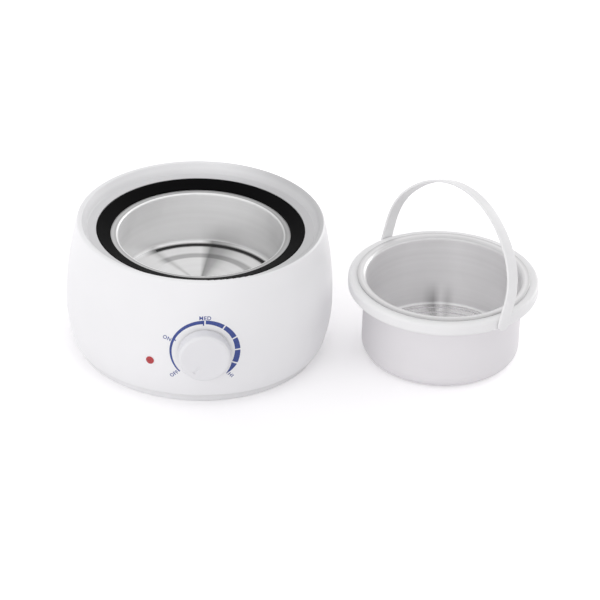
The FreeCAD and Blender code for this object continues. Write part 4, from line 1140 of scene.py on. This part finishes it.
class WrapOnBelly(GrowthTree):
    """Lays a flat piece in the XZ plane onto the front of a barrel.

    The barrel's side has one arc above its widest height and another below.
    """

    inputs = {"Belly height": "Float", "Belly radius": "Float", "Upper arc": "Float", "Lower arc": "Float"}

    def reach(self, arc: str, rise: Wire) -> Wire:
        """Returns how far out the side is on one of its arcs, at a rise from the widest height."""
        radius = self.input(arc)
        return self.input("Belly radius") - radius + (radius * radius - rise * rise).root()

    def shape(self) -> Wire:
        """Moves each point out onto the side.

        Returns:
            The piece on the side.
        """
        x, _, z = self.split(self.wire("GeometryNodeInputPosition"))
        rise = z - self.input("Belly height")
        upper = self.wire("FunctionNodeCompare", {"operation": "GREATER_THAN"}, {0: rise, 1: 0.0})
        out = self.wire("GeometryNodeSwitch", {"input_type": "FLOAT"},
                        {0: upper, 1: self.reach("Lower arc", rise), 2: self.reach("Upper arc", rise)})
        place = self.point(x, 0.0 - (out * out - x * x).root(), z)
        return self.wire("GeometryNodeSetPosition", None, {0: self.input("Geometry"), "Position": place})


# ---------------------------------------------------------------- sub-assemblies


@dataclass(frozen=True)
class Workshop:
    """What every sub-assembly is built with: the paints, and the tree for rings of pieces."""

    paints: Paints
    ring: RingOfPieces

    def set_round(self, piece: bpy.types.Object, node: str, count: int, radius: float,
                  start: float = 0.0) -> None:
        """Turns a piece into a ring of copies.

        Args:
            piece: The piece.
            node: The CAD node whose material the copies get.
            count: How many there are.
            radius: The ring's radius.
            start: The angle of the first one.
        """
        paint = self.paints[SLOT_OF[node]]
        self.ring.grow(piece, paint, Count=count, Ring_radius=radius, Start_angle=start)


@dataclass
class SubAssembly:
    """Pieces that are built and dressed together."""

    body: str = "heater"
    nodes: tuple[str, ...] = ()

    def build(self, shop: Workshop) -> None:
        """Builds the pieces that the CAD leaves plain."""

    def dress(self, paints: Paints) -> None:
        """Gives each CAD node that stays the material of its slot.

        Args:
            paints: The materials.
        """
        for name in self.nodes:
            node = FRAME["nodes"][name]
            paint = paints[SLOT_OF[name]]
            if not node.material_slots:
                node.data.materials.append(paint)
            for holder in node.material_slots:
                holder.material = paint
            LOG.info("%s: dressed in %s", name, paint.name)

    def stand_in(self, piece: bpy.types.Object, node: str, paints: Paints) -> None:
        """Hands over a finished piece that takes a CAD node's place and slot.

        Args:
            piece: The piece, in place.
            node: The CAD node.
            paints: The materials.
        """
        slot = SLOT_OF[node]
        hand_over(piece, self.body, paints[slot])
        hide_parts(node)


@dataclass(frozen=True)
class Screw:
    """A domed screw with a cross recess, its head below z = 0 and its thread above."""

    head_radius: float = 2.25 * MM
    head_height: float = 1.6 * MM
    shank_radius: float = 1.25 * MM
    shank_length: float = 6.0 * MM
    recess_reach: float = 1.3 * MM
    recess_half: float = 0.35 * MM
    recess_depth: float = 0.8 * MM
    recess_taper: float = 0.72
    pitch: float = 0.9 * MM
    thread_depth: float = 0.28 * MM
    thread_slope: float = 3.2
    edge: float = 0.3 * MM
    chamfer: float = 0.1 * MM
    crown: float = 0.45
    rings: int = 8
    rows_a_pitch: int = 6
    steps: int = 48
    sharp_from: float = 35.0

    def thread(self, angle: float, height: float) -> float:
        """Works out the thread at a point of the shank.

        Args:
            angle: The angle round the shank.
            height: The height on it.

        Returns:
            What the thread adds to the core's radius.
        """
        if height < self.pitch or height > self.shank_length - self.shank_radius:
            return 0.0
        turn = (height / self.pitch - angle / FULL_TURN) % 1.0
        return self.thread_depth * max(0.0, 1.0 - abs(turn - 0.5) * self.thread_slope)

    def outline(self) -> Outline:
        """Draws the screw, from the middle of its head to its point.

        Returns:
            Radius and height of each point.
        """
        crown, flat = self.crown * self.head_height, self.head_radius - self.edge
        dome = [(flat * part / self.rings, -self.head_height + crown * (part / self.rings) ** 2)
                for part in range(1, self.rings + 1)]
        rim = [(self.head_radius, -self.head_height + crown + self.edge), (self.head_radius, -self.chamfer),
               (self.head_radius - self.chamfer, 0.0)]
        core = self.shank_radius - self.thread_depth
        end = self.shank_length - self.shank_radius
        rows = int(end / (self.pitch / self.rows_a_pitch))
        shank = [(core, end * row / rows) for row in range(rows + 1)]
        return [(POLE, -self.head_height), *dome, *rim, *shank, (POLE, self.shank_length)]

    def cutter(self) -> bpy.types.Object:
        """Builds the cross that cuts the recess.

        Returns:
            The cross.
        """
        half, reach = self.recess_half, self.recess_reach
        arm = [(half, -half), (reach, -half), (reach, half)]
        corners = []
        for _ in range(4):
            corners += arm
            arm = [(-y, x) for x, y in arm]
        low, high = -2 * self.head_height, -self.head_height + self.recess_depth
        points = [(x * size, y * size, z) for size, z in ((1.0, low), (self.recess_taper, high))
                  for x, y in corners]
        return tube("recess_cutter", points, len(corners))

    def build(self, name: str) -> bpy.types.Object:
        """Builds one screw, head down at the origin.

        Args:
            name: Its name.

        Returns:
            The screw.
        """
        screw, cutter = turned(name, self.outline(), self.steps, self.thread), self.cutter()
        cut = screw.modifiers.new("Recess", "BOOLEAN")
        cut.operation, cut.solver, cut.object = "DIFFERENCE", "EXACT", cutter
        settle(screw)
        bpy.data.objects.remove(cutter)
        crease(screw, self.sharp_from)
        return screw


@dataclass
class Casing(SubAssembly):
    """The housing, its base, and what stands under and holds the base."""

    nodes: tuple[str, ...] = ("housing", "base_plate")
    screw: Screw = Screw(3.5 * MM, 2.0 * MM, 1.75 * MM, 12.0 * MM, 1.7 * MM, 0.45 * MM, 1.2 * MM,
                         pitch=1.4 * MM, thread_depth=0.35 * MM)
    count: int = 4
    screw_start: float = math.radians(45)
    pad_radius: float = 7.0 * MM
    pad_ribs: int = 5
    pad_rib_depth: float = 0.35 * MM
    pad_edge: float = 0.5 * MM
    pad_groove: tuple[tuple[float, float], ...] = ((0.5, 0.0), (0.62, 1.0), (0.88, 1.0), (1.0, 0.0))
    pad_steps: int = 64
    pad_sharp_from: float = 40.0

    def build(self, shop: Workshop) -> None:
        """Builds the base screws and the pads.

        Args:
            shop: What it is built with.
        """
        low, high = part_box("base_screws")
        screws = self.screw.build("base_screw_set")
        reach = (high.x - self.screw.head_radius) * math.sqrt(2)
        shop.set_round(screws, "base_screws", self.count, reach, self.screw_start)
        put(screws, Matrix.Translation((0.0, 0.0, low.z + self.screw.head_height)))
        self.stand_in(screws, "base_screws", shop.paints)
        low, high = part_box("rubber_pads")
        pads = turned("anti_slip_pads", self.pad_outline(high.z - low.z), self.pad_steps)
        crease(pads, self.pad_sharp_from)
        shop.set_round(pads, "rubber_pads", self.count, high.x - self.pad_radius)
        put(pads, Matrix.Translation((0.0, 0.0, low.z)))
        self.stand_in(pads, "rubber_pads", shop.paints)

    def pad_outline(self, thick: float) -> Outline:
        """Draws a pad with grooves in its foot.

        Args:
            thick: The pad's thickness.

        Returns:
            Radius and height of each point.
        """
        inner = self.pad_radius - self.pad_edge
        pitch = inner / (self.pad_ribs + 0.5)
        foot = [(pitch * (rib + along), self.pad_rib_depth * deep)
                for rib in range(self.pad_ribs) for along, deep in self.pad_groove]
        edge = rounded_corner(inner, self.pad_edge, self.pad_edge, -1.0)
        top = rounded_corner(inner, thick - self.pad_edge, self.pad_edge, 0.0)
        return [(POLE, 0.0), *foot, *edge, *top, (POLE, thick)]


@dataclass
class HeatingWell(SubAssembly):
    """The ring, the bowl, the band heater round the bowl, and their fasteners."""

    nodes: tuple[str, ...] = ("heat_ring", "heating_bowl", "bowl_clips", "band_heater", "band_screw",
                              "band_nut", "insulation_wrap", "heater_tabs")
    screw: Screw = Screw()
    count: int = 4

    def build(self, shop: Workshop) -> None:
        """Builds the screws that hold the bowl's clips.

        Args:
            shop: What it is built with.
        """
        low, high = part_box("clip_screws")
        screws = self.screw.build("clip_screw_set")
        shop.set_round(screws, "clip_screws", self.count, high.x - self.screw.head_radius)
        put(screws, Matrix.Translation((0.0, 0.0, low.z + self.screw.head_height)))
        self.stand_in(screws, "clip_screws", shop.paints)


@dataclass
class Thermostat(SubAssembly):
    """The thermostat on its bracket, and the bracket's screws."""

    nodes: tuple[str, ...] = ("thermostat_bracket", "bimetal_strip", "thermostat_body", "thermostat_rivets",
                              "thermostat_bush", "thermostat_tabs")
    screw: Screw = Screw(shank_length=5.0 * MM)

    def build(self, shop: Workshop) -> None:
        """Builds the pair of screws in front and the one behind.

        Args:
            shop: What it is built with.
        """
        low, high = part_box("bracket_screws")
        radius, seat = self.screw.head_radius, low.z + self.screw.head_height
        pair, single = self.screw.build("bracket_pair"), self.screw.build("bracket_single")
        shop.set_round(pair, "bracket_screws", 2, high.x - radius)
        put(pair, Matrix.Translation((0.0, low.y + radius, seat)))
        put(single, Matrix.Translation((0.0, high.y - radius, seat)))
        screws = join("bracket_screw_set", [pair, single])
        crease(screws, self.screw.sharp_from)
        self.stand_in(screws, "bracket_screws", shop.paints)


@dataclass
class PilotLight(SubAssembly):
    """The red lens left of the knob, and the lamp behind it."""

    nodes: tuple[str, ...] = ("lens_clip", "neon_lamp", "lamp_sleeve")
    azimuth: float = math.radians(-23.1)
    height: float = 34.8 * MM
    seat: float = 94.85 * MM
    head_radius: float = 2.9 * MM
    head_edge: float = 0.12 * MM
    proud: float = 0.9 * MM
    stem_radius: float = 2.6 * MM
    stem_length: float = 8.8 * MM
    stem_edge: float = 0.35 * MM
    rings: int = 12
    steps: int = 48
    sharp_from: float = 40.0

    def build(self, shop: Workshop) -> None:
        """Builds the lens as a domed stud.

        Args:
            shop: What it is built with.
        """
        stem = [(POLE, -self.stem_length), (self.stem_radius - self.stem_edge, -self.stem_length),
                (self.stem_radius, self.stem_edge - self.stem_length), (self.stem_radius, 0.0),
                (self.head_radius, 0.0), (self.head_radius, self.head_edge)]
        rise = self.proud - self.head_edge
        turns = [QUARTER_TURN * part / self.rings for part in range(self.rings, 0, -1)]
        dome = [(self.head_radius * math.sin(turn), self.head_edge + rise * math.cos(turn))
                for turn in turns]
        lens = turned("domed_lens", [*stem, *dome, (POLE, self.proud)], self.steps)
        crease(lens, self.sharp_from)
        out = Vector((math.sin(self.azimuth), -math.cos(self.azimuth), 0.0))
        facing = Matrix((UP.cross(out), UP, out)).transposed().to_4x4()
        put(lens, Matrix.Translation(out * self.seat + UP * self.height) @ facing)
        self.stand_in(lens, "pilot_lens", shop.paints)


@dataclass(frozen=True)
class Legend:
    """A word of the dial: its letters, and where its middle is.

    It reads towards the knob's axis where reading is -1, away from it where it is 1, and across where it
    is 0.
    """

    words: str
    radius: float
    angle: float
    length: float
    tall: float
    reading: int


@dataclass
class Dial(SubAssembly):
    """The knob with its shaft, and the scale printed round it on the housing.

    Angles run clockwise from the top, in degrees, as the knob turns.
    """

    body: str = "knob"
    nodes: tuple[str, ...] = ("knob", "thermostat_shaft")
    mean_radius: float = 23.2 * MM
    start: float = -134.0
    end: float = 139.0
    narrow: float = 0.95 * MM
    swell: float = 0.0128 * MM
    gaps: tuple[float, ...] = (0.5, 35.5, 64.3, 88.0, 114.0)
    gap_width: float = 2.6
    tail_drop: float = 0.6 * MM
    tail_taper: float = 0.92
    ticks: tuple[tuple[float, float], ...] = ((-67.0, 21.3 * MM), (-2.2, 20.7 * MM))
    tick_width: float = 0.9 * MM
    step: float = 2.0
    layers: int = 4
    legends: tuple[Legend, ...] = (
        Legend("OFF", 27.7 * MM, -132.2, 6.6 * MM, 2.9 * MM, -1),
        Legend("ON", 27.4 * MM, -69.7, 5.6 * MM, 2.9 * MM, -1),
        Legend("MED", 26.2 * MM, 0.8, 8.1 * MM, 2.8 * MM, 0),
        Legend("HI", 27.2 * MM, 136.3, 3.9 * MM, 2.6 * MM, 1),
    )
    stroke_growth: float = 0.014
    letter_spacing: float = 1.12
    letter_steps: int = 6
    ink_thick: float = 0.12 * MM
    ink_sharp_from: float = 40.0
    belly_height: float = 37.0 * MM
    upper_arc: float = 249.38 * MM
    lower_arc: float = 96.15 * MM

    def band(self, angle: float) -> tuple[float, float, float]:
        """Measures the scale, which swells evenly, then tapers and moves outwards after its last gap.

        Args:
            angle: The angle to measure at.

        Returns:
            The angle, and the inner and outer radius there.
        """
        last = self.gaps[-1]
        width = self.narrow + self.swell * (angle - self.start)
        tail = max(0.0, angle - last - self.gap_width / 2) / (self.end - last - self.gap_width / 2)
        width *= 1.0 - self.tail_taper * tail
        centre = self.mean_radius + self.tail_drop * max(0.0, angle - last) / (self.end - last)
        return angle, centre - width / 2, centre + width / 2

    def flat_point(self, radius: float, angle: float) -> Vector:
        """Returns a point at a distance and an angle from the knob's axis, flat in the XZ plane."""
        turn = math.radians(angle)
        return Vector((radius * math.sin(turn), 0.0, radius * math.cos(turn)))

    def strip(self, name: str, rows: Sequence[tuple[float, float, float]]) -> bpy.types.Object:
        """Makes a flat strip.

        Args:
            name: Its name.
            rows: Angle, inner radius and outer radius of each row.

        Returns:
            The strip, in the XZ plane.
        """
        points = [self.flat_point(inner + (outer - inner) * layer / self.layers, angle)
                  for angle, inner, outer in rows for layer in range(self.layers + 1)]
        return new_piece(name, points, quads(len(rows), self.layers + 1, closed=False))

    def scale(self) -> list[bpy.types.Object]:
        """Makes the stretches of the scale and its two ticks.

        Returns:
            The flat strips.
        """
        made = []
        half_gap = self.gap_width / 2
        starts = [self.start, *(gap + half_gap for gap in self.gaps)]
        ends = [*(gap - half_gap for gap in self.gaps), self.end]
        for first, last in zip(starts, ends):
            count = max(2, round((last - first) / self.step))
            rows = [self.band(first + (last - first) * step / count) for step in range(count + 1)]
            made.append(self.strip("scale_arc", rows))
        half = math.degrees(self.tick_width / 2 / self.mean_radius)
        for angle, reach in self.ticks:
            rows = [(angle + side * half, reach, self.mean_radius) for side in (-1, 0, 1)]
            made.append(self.strip("scale_tick", rows))
        return made

    def lettering(self, legend: Legend) -> bpy.types.Object:
        """Makes a legend's letters.

        Args:
            legend: The legend.

        Returns:
            The letters, flat in the XZ plane.
        """
        text = bpy.data.curves.new("legend_text", "FONT")
        text.body = legend.words
        text.resolution_u = self.letter_steps
        text.offset = self.stroke_growth
        text.space_character = self.letter_spacing
        holder = show("legend_holder", text)
        mesh = plain_mesh(holder)
        bpy.data.objects.remove(holder)
        sides = zip(*(point.co[:2] for point in mesh.vertices))
        (left, right), (low, high) = ((min(side), max(side)) for side in sides)
        outward = self.flat_point(1.0, legend.angle)
        along = outward * legend.reading if legend.reading else Vector((1.0, 0.0, 0.0))
        upward = Vector((-along.z, 0.0, along.x))
        centre = self.flat_point(legend.radius, legend.angle)
        for point in mesh.vertices:
            across = ((point.co.x - left) / (right - left) - 0.5) * legend.length
            rise = ((point.co.y - low) / (high - low) - 0.5) * legend.tall
            point.co = centre + along * across + upward * rise
        return show("legend_" + legend.words.lower(), mesh)

    def build(self, shop: Workshop) -> None:
        """Prints the scale on the housing.

        Args:
            shop: What it is built with.
        """
        low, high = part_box("housing")
        scale = join("dial_scale", self.scale() + [self.lettering(legend) for legend in self.legends])
        put(scale, Matrix.Translation(UP * middle("knob").z))
        WrapOnBelly("Wrap on belly").grow(
            scale, shop.paints["ink"], Belly_height=self.belly_height, Belly_radius=(high.x - low.x) / 2,
            Upper_arc=self.upper_arc, Lower_arc=self.lower_arc)
        self.thicken(scale)
        hand_over(scale, "heater", shop.paints["ink"])

    def thicken(self, scale: bpy.types.Object) -> None:
        """Gives the flat print its closed thickness, half of it sunk into the housing.

        Args:
            scale: The print.
        """
        work = bmesh.new()
        work.from_mesh(scale.data)
        bmesh.ops.remove_doubles(work, verts=work.verts, dist=SAME_PLACE)
        for face in work.faces:
            if face.normal.y > 0:
                face.normal_flip()
        work.normal_update()
        work.to_mesh(scale.data)
        work.free()
        wall = scale.modifiers.new("Ink", "SOLIDIFY")
        wall.thickness = self.ink_thick
        wall.offset = 0.0
        settle(scale)
        crease(scale, self.ink_sharp_from)


@dataclass
class Inlet(SubAssembly):
    """The mains inlet, its contacts and its screws."""

    nodes: tuple[str, ...] = ("inlet_socket", "inlet_contacts")
    screw: Screw = Screw(2.375 * MM, 1.4 * MM, shank_length=10.0 * MM)

    def build(self, shop: Workshop) -> None:
        """Builds the two screws, heads outwards.

        Args:
            shop: What it is built with.
        """
        low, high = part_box("inlet_screws")
        screws = self.screw.build("inlet_screw_set")
        shop.set_round(screws, "inlet_screws", 2, high.x - self.screw.head_radius)
        seat = Matrix.Translation((0.0, high.y - self.screw.head_height, (low.z + high.z) / 2))
        put(screws, seat @ Matrix.Rotation(QUARTER_TURN, 4, "X"))
        self.stand_in(screws, "inlet_screws", shop.paints)


@dataclass
class Wiring(SubAssembly):
    """The leads and the thermal fuse in its sleeve."""

    nodes: tuple[str, ...] = ("lead_live", "lead_switched", "lead_heater", "lead_neutral", "fuse_sleeve",
                              "thermal_fuse", "fuse_clip")


@dataclass
class MeltingPot(SubAssembly):
    """The pot and its collar."""

    body: str = "pot"
    nodes: tuple[str, ...] = ("wax_pot", "pot_collar")


@dataclass
class Bail(SubAssembly):
    """The strap that carries the pot, with rounded edges, round feet and a pin at each foot.

    Its plane is drawn upright, with heights counted from the pivots, and then leaned about them.
    """

    body: str = "bail"
    azimuth: float = math.radians(-58.1)
    lean: float = math.radians(14.7)
    reach: float = 69.1 * MM
    leg: float = 16.0 * MM
    rise: float = 55.6 * MM
    shoulder: float = 44.0 * MM
    thick: float = 2.0 * MM
    width: float = 9.0 * MM
    edge: float = 0.7 * MM
    foot_round: float = 4.4 * MM
    foot_tip: float = 0.12 * MM
    pivot_height: float = 55.95 * MM
    pin_radius: float = 1.5 * MM
    pin_end: float = 63.5 * MM
    pin_chamfer: float = 0.3 * MM
    pin_steps: int = 32
    shoulder_steps: int = 28
    crown_steps: int = 22
    leg_steps: int = 8
    foot_steps: int = 12
    edge_steps: int = 5
    sharp_from: float = 50.0

    def legs(self) -> list[float]:
        """Spaces a leg's rows, closer together where its foot is round.

        Returns:
            The distances from the foot.
        """
        turns = [QUARTER_TURN * step / self.foot_steps for step in range(self.foot_steps + 1)]
        rest = self.leg + self.width / 2 - self.foot_round
        return [(1.0 - math.cos(turn)) * self.foot_round for turn in turns] + [
            self.foot_round + rest * step / self.leg_steps for step in range(1, self.leg_steps)]

    def arch(self) -> list[tuple[float, float, float]]:
        """Draws the right half of the arch.

        Returns:
            X, height and outward angle of each row.
        """
        out, over = self.reach - self.shoulder, self.rise - self.shoulder
        drop = (out ** 2 - over ** 2) / (2 * over)
        meeting, crown = math.atan2(drop, out), self.rise + drop
        bend = [meeting * step / self.shoulder_steps for step in range(self.shoulder_steps)]
        top = [meeting + (QUARTER_TURN - meeting) * step / self.crown_steps
               for step in range(self.crown_steps + 1)]
        arcs = ((bend, out, self.leg, self.shoulder), (top, 0.0, self.leg - drop, crown))
        return [(x + radius * math.cos(turn), z + radius * math.sin(turn), turn)
                for turns, x, z, radius in arcs for turn in turns]

    def path(self) -> list[tuple[Vector, Vector, float]]:
        """Follows the strap from foot to foot.

        Returns:
            Each row's place, its outward direction and its distance from the nearer foot.
        """
        half = [(self.reach, far - self.width / 2, 0.0, far) for far in self.legs()]
        half += [(*row, self.leg) for row in self.arch()]
        return [(Vector((side * x, 0.0, z)), Vector((side * math.cos(turn), 0.0, math.sin(turn))), far)
                for side, part in ((1, half), (-1, half[-2::-1])) for x, z, turn, far in part]

    def section(self, half_width: float, half_thick: float) -> Outline:
        """Draws the strap's outline.

        Args:
            half_width: Half its width.
            half_thick: Half its thickness.

        Returns:
            How far across the width and through the thickness each point is.
        """
        edge = min(self.edge, half_width * 0.95, half_thick * 0.95)
        outline = []
        for quarter, (side, face) in enumerate(((1, 1), (-1, 1), (-1, -1), (1, -1))):
            corner = (side * (half_width - edge), face * (half_thick - edge))
            outline += rounded_corner(*corner, edge, quarter, self.edge_steps)
        return outline

    def strap(self) -> bpy.types.Object:
        """Builds the strap, in the plane of X and Z.

        Returns:
            The strap.
        """
        points, outline = [], []
        for place, out, far in self.path():
            half, half_thick = self.width / 2, self.thick / 2
            if far < self.foot_round:
                short = self.foot_round - far
                half -= self.foot_round - math.sqrt(max(0.0, self.foot_round ** 2 - short ** 2))
            if far < self.edge:
                half_thick -= self.edge - math.sqrt(self.edge ** 2 - (self.edge - far) ** 2)
            outline = self.section(max(half, self.foot_tip), half_thick)
            points += [place + out * through + Vector((0.0, across, 0.0)) for across, through in outline]
        return tube("carrying_bail", points, len(outline))

    def pin(self, side: int) -> bpy.types.Object:
        """Builds the pin inside one foot.

        Args:
            side: 1 for the right foot and -1 for the left.

        Returns:
            The pin.
        """
        outline = [(POLE, self.pin_end), (self.pin_radius - self.pin_chamfer, self.pin_end),
                   (self.pin_radius, self.pin_end + self.pin_chamfer), (self.pin_radius, self.reach),
                   (POLE, self.reach)]
        pin = turned("bail_pin", outline, self.pin_steps)
        put(pin, Matrix.Rotation(side * QUARTER_TURN, 4, "Y"))
        return pin

    def build(self, shop: Workshop) -> None:
        """Builds the bail over the pot.

        Args:
            shop: What it is built with.
        """
        bail = join("carrying_bail", [self.strap(), self.pin(1), self.pin(-1)])
        crease(bail, self.sharp_from)
        pot = middle("wax_pot")
        put(bail, Matrix.Translation((pot.x, pot.y, self.pivot_height))
            @ Matrix.Rotation(self.azimuth, 4, "Z") @ Matrix.Rotation(-self.lean, 4, "X"))
        self.stand_in(bail, "bail", shop.paints)


# ---------------------------------------------------------------- studio


@dataclass(frozen=True)
class Lamp:
    """A square soft lamp."""

    name: str
    place: Point
    target: Point
    side: float
    watts: float
    mirrored: bool = False

    def hang(self) -> None:
        """Adds the lamp to the scene."""
        light = bpy.data.lights.new(self.name, "AREA")
        light.shape = "SQUARE"
        light.size = self.side
        light.energy = self.watts
        lamp = show(self.name, light)
        lamp.visible_glossy = self.mirrored
        aim = (Vector(self.target) - Vector(self.place)).to_track_quat("-Z", "Y")
        lamp.matrix_world = Matrix.Translation(self.place) @ aim.to_matrix().to_4x4()


@dataclass
class Studio:
    """The pale floor, the soft light and the camera."""

    camera_place: Point = (-90.50 * MM, -2176.61 * MM, 1325.20 * MM)
    heading: float = math.radians(4.27)
    pitch: float = math.radians(30.669)
    roll: float = math.radians(1.975)
    lens: float = 212.58
    sensor: float = 36.0
    floor_half: float = 6.0
    floor_colour: Colour = (0.90, 0.89, 0.905)
    floor_middle: Point = (10.0 * MM, -20.0 * MM, 0.0)
    near_lift: float = 0.25
    far_lift: float = 0.60
    lift_start: float = 0.10
    lift_end: float = 0.40
    sky_colour: Colour = (1.0, 0.995, 1.0)
    sky_low: float = 0.52
    sky_high: float = 0.90
    seen_low: float = 0.90
    seen_high: float = 1.0
    light_from: Point = (-0.62, -0.30, 0.72)
    seen_from: Point = (0.80, -0.10, 0.30)
    lamps: tuple[Lamp, ...] = (
        Lamp("Key lamp", (-1.9, -1.0, 0.8), (0.05, 0.0, 0.04), 1.4, 4.5),
        Lamp("Fill lamp", (1.8, 1.5, 0.6), (0.05, 0.0, 0.04), 1.2, 12.0, mirrored=True),
        Lamp("Front lamp", (-0.7, -2.3, 0.9), (0.08, 0.0, 0.04), 1.2, 6.0),
    )

    def build(self) -> None:
        """Sets up the studio."""
        self.set_camera()
        self.lay_floor()
        self.set_world()
        for lamp in self.lamps:
            lamp.hang()
        bpy.context.scene.view_settings.view_transform = "Standard"
        LOG.info("studio: %d lamps", len(self.lamps))

    def set_camera(self) -> None:
        """Puts the camera on its stand, turned a little about its own axis."""
        level = Vector((math.sin(self.heading), math.cos(self.heading), 0.0))
        ahead = level * math.cos(self.pitch) - UP * math.sin(self.pitch)
        flat_right = level.cross(UP)
        right = flat_right * math.cos(self.roll) + flat_right.cross(ahead) * math.sin(self.roll)
        facing = Matrix((right, right.cross(ahead), -ahead)).transposed().to_4x4()
        camera = show("Camera", bpy.data.cameras.new("Camera"))
        camera.data.lens = self.lens
        camera.data.sensor_width = self.sensor
        camera.matrix_world = Matrix.Translation(self.camera_place) @ facing
        bpy.context.scene.camera = camera

    def lay_floor(self) -> None:
        """Lays a white floor that keeps soft shadows."""
        half = self.floor_half
        corners = [(-half, -half, 0.0), (half, -half, 0.0), (half, half, 0.0), (-half, half, 0.0)]
        floor = new_piece("Floor", corners, [[0, 1, 2, 3]])
        if floor.data.polygons[0].normal.z < 0:
            floor.data.flip_normals()
        recipe = Recipe("Floor paper")
        away = recipe.length(recipe.place(self.floor_middle)).step(self.lift_start, self.lift_end)
        lift = recipe.blend(away, (*[self.near_lift] * 3, 1.0), (*[self.far_lift] * 3, 1.0))
        in_sight = recipe.rays("Camera", "Glossy", "Transmission")
        lit = recipe.wire("ShaderNodeBsdfDiffuse", None, {"Color": (*self.floor_colour, 1.0)})
        glow = recipe.wire("ShaderNodeEmission", None, {"Color": lift, "Strength": in_sight})
        floor.data.materials.append(recipe.end(recipe.wire("ShaderNodeAddShader", None, {0: lit, 1: glow})))

    def set_world(self) -> None:
        """Surrounds the object with soft light that falls off away from the key lamp."""
        world = bpy.data.worlds.new("Studio")
        bpy.context.scene.world = world
        world.use_nodes = True
        tree = Tree(world.node_tree)
        towards = tree.wire("ShaderNodeTexCoord", output="Generated")
        lit, seen = (
            low + tree.dot(towards, Vector(source).normalized()).step(-1.0, 1.0) * (high - low)
            for source, low, high in ((self.light_from, self.sky_low, self.sky_high),
                                      (self.seen_from, self.seen_low, self.seen_high)))
        mirrored, camera = tree.rays("Glossy", "Transmission"), tree.rays("Camera")
        soft = lit * (1 - mirrored) + seen * mirrored
        sockets = {"Color": (*self.sky_colour, 1.0), "Strength": soft * (1 - camera) + camera}
        shader = tree.wire("ShaderNodeBackground", None, sockets)
        tree.node("ShaderNodeOutputWorld", None, {"Surface": shader})


def main() -> None:
    """Builds the studio and each sub-assembly in order."""
    logging.basicConfig(level=logging.INFO, format="%(message)s")
    Studio().build()
    shop = Workshop(mix_paints(), RingOfPieces("Ring of pieces"))
    parts: tuple[SubAssembly, ...] = (Casing(), HeatingWell(), Thermostat(), PilotLight(), Dial(), Inlet(),
                                      Wiring(), MeltingPot(), Bail())
    for part in parts:
        part.build(shop)
        part.dress(shop.paints)
        LOG.info("%s: done", type(part).__name__)


if __name__ == "__main__":
    main()
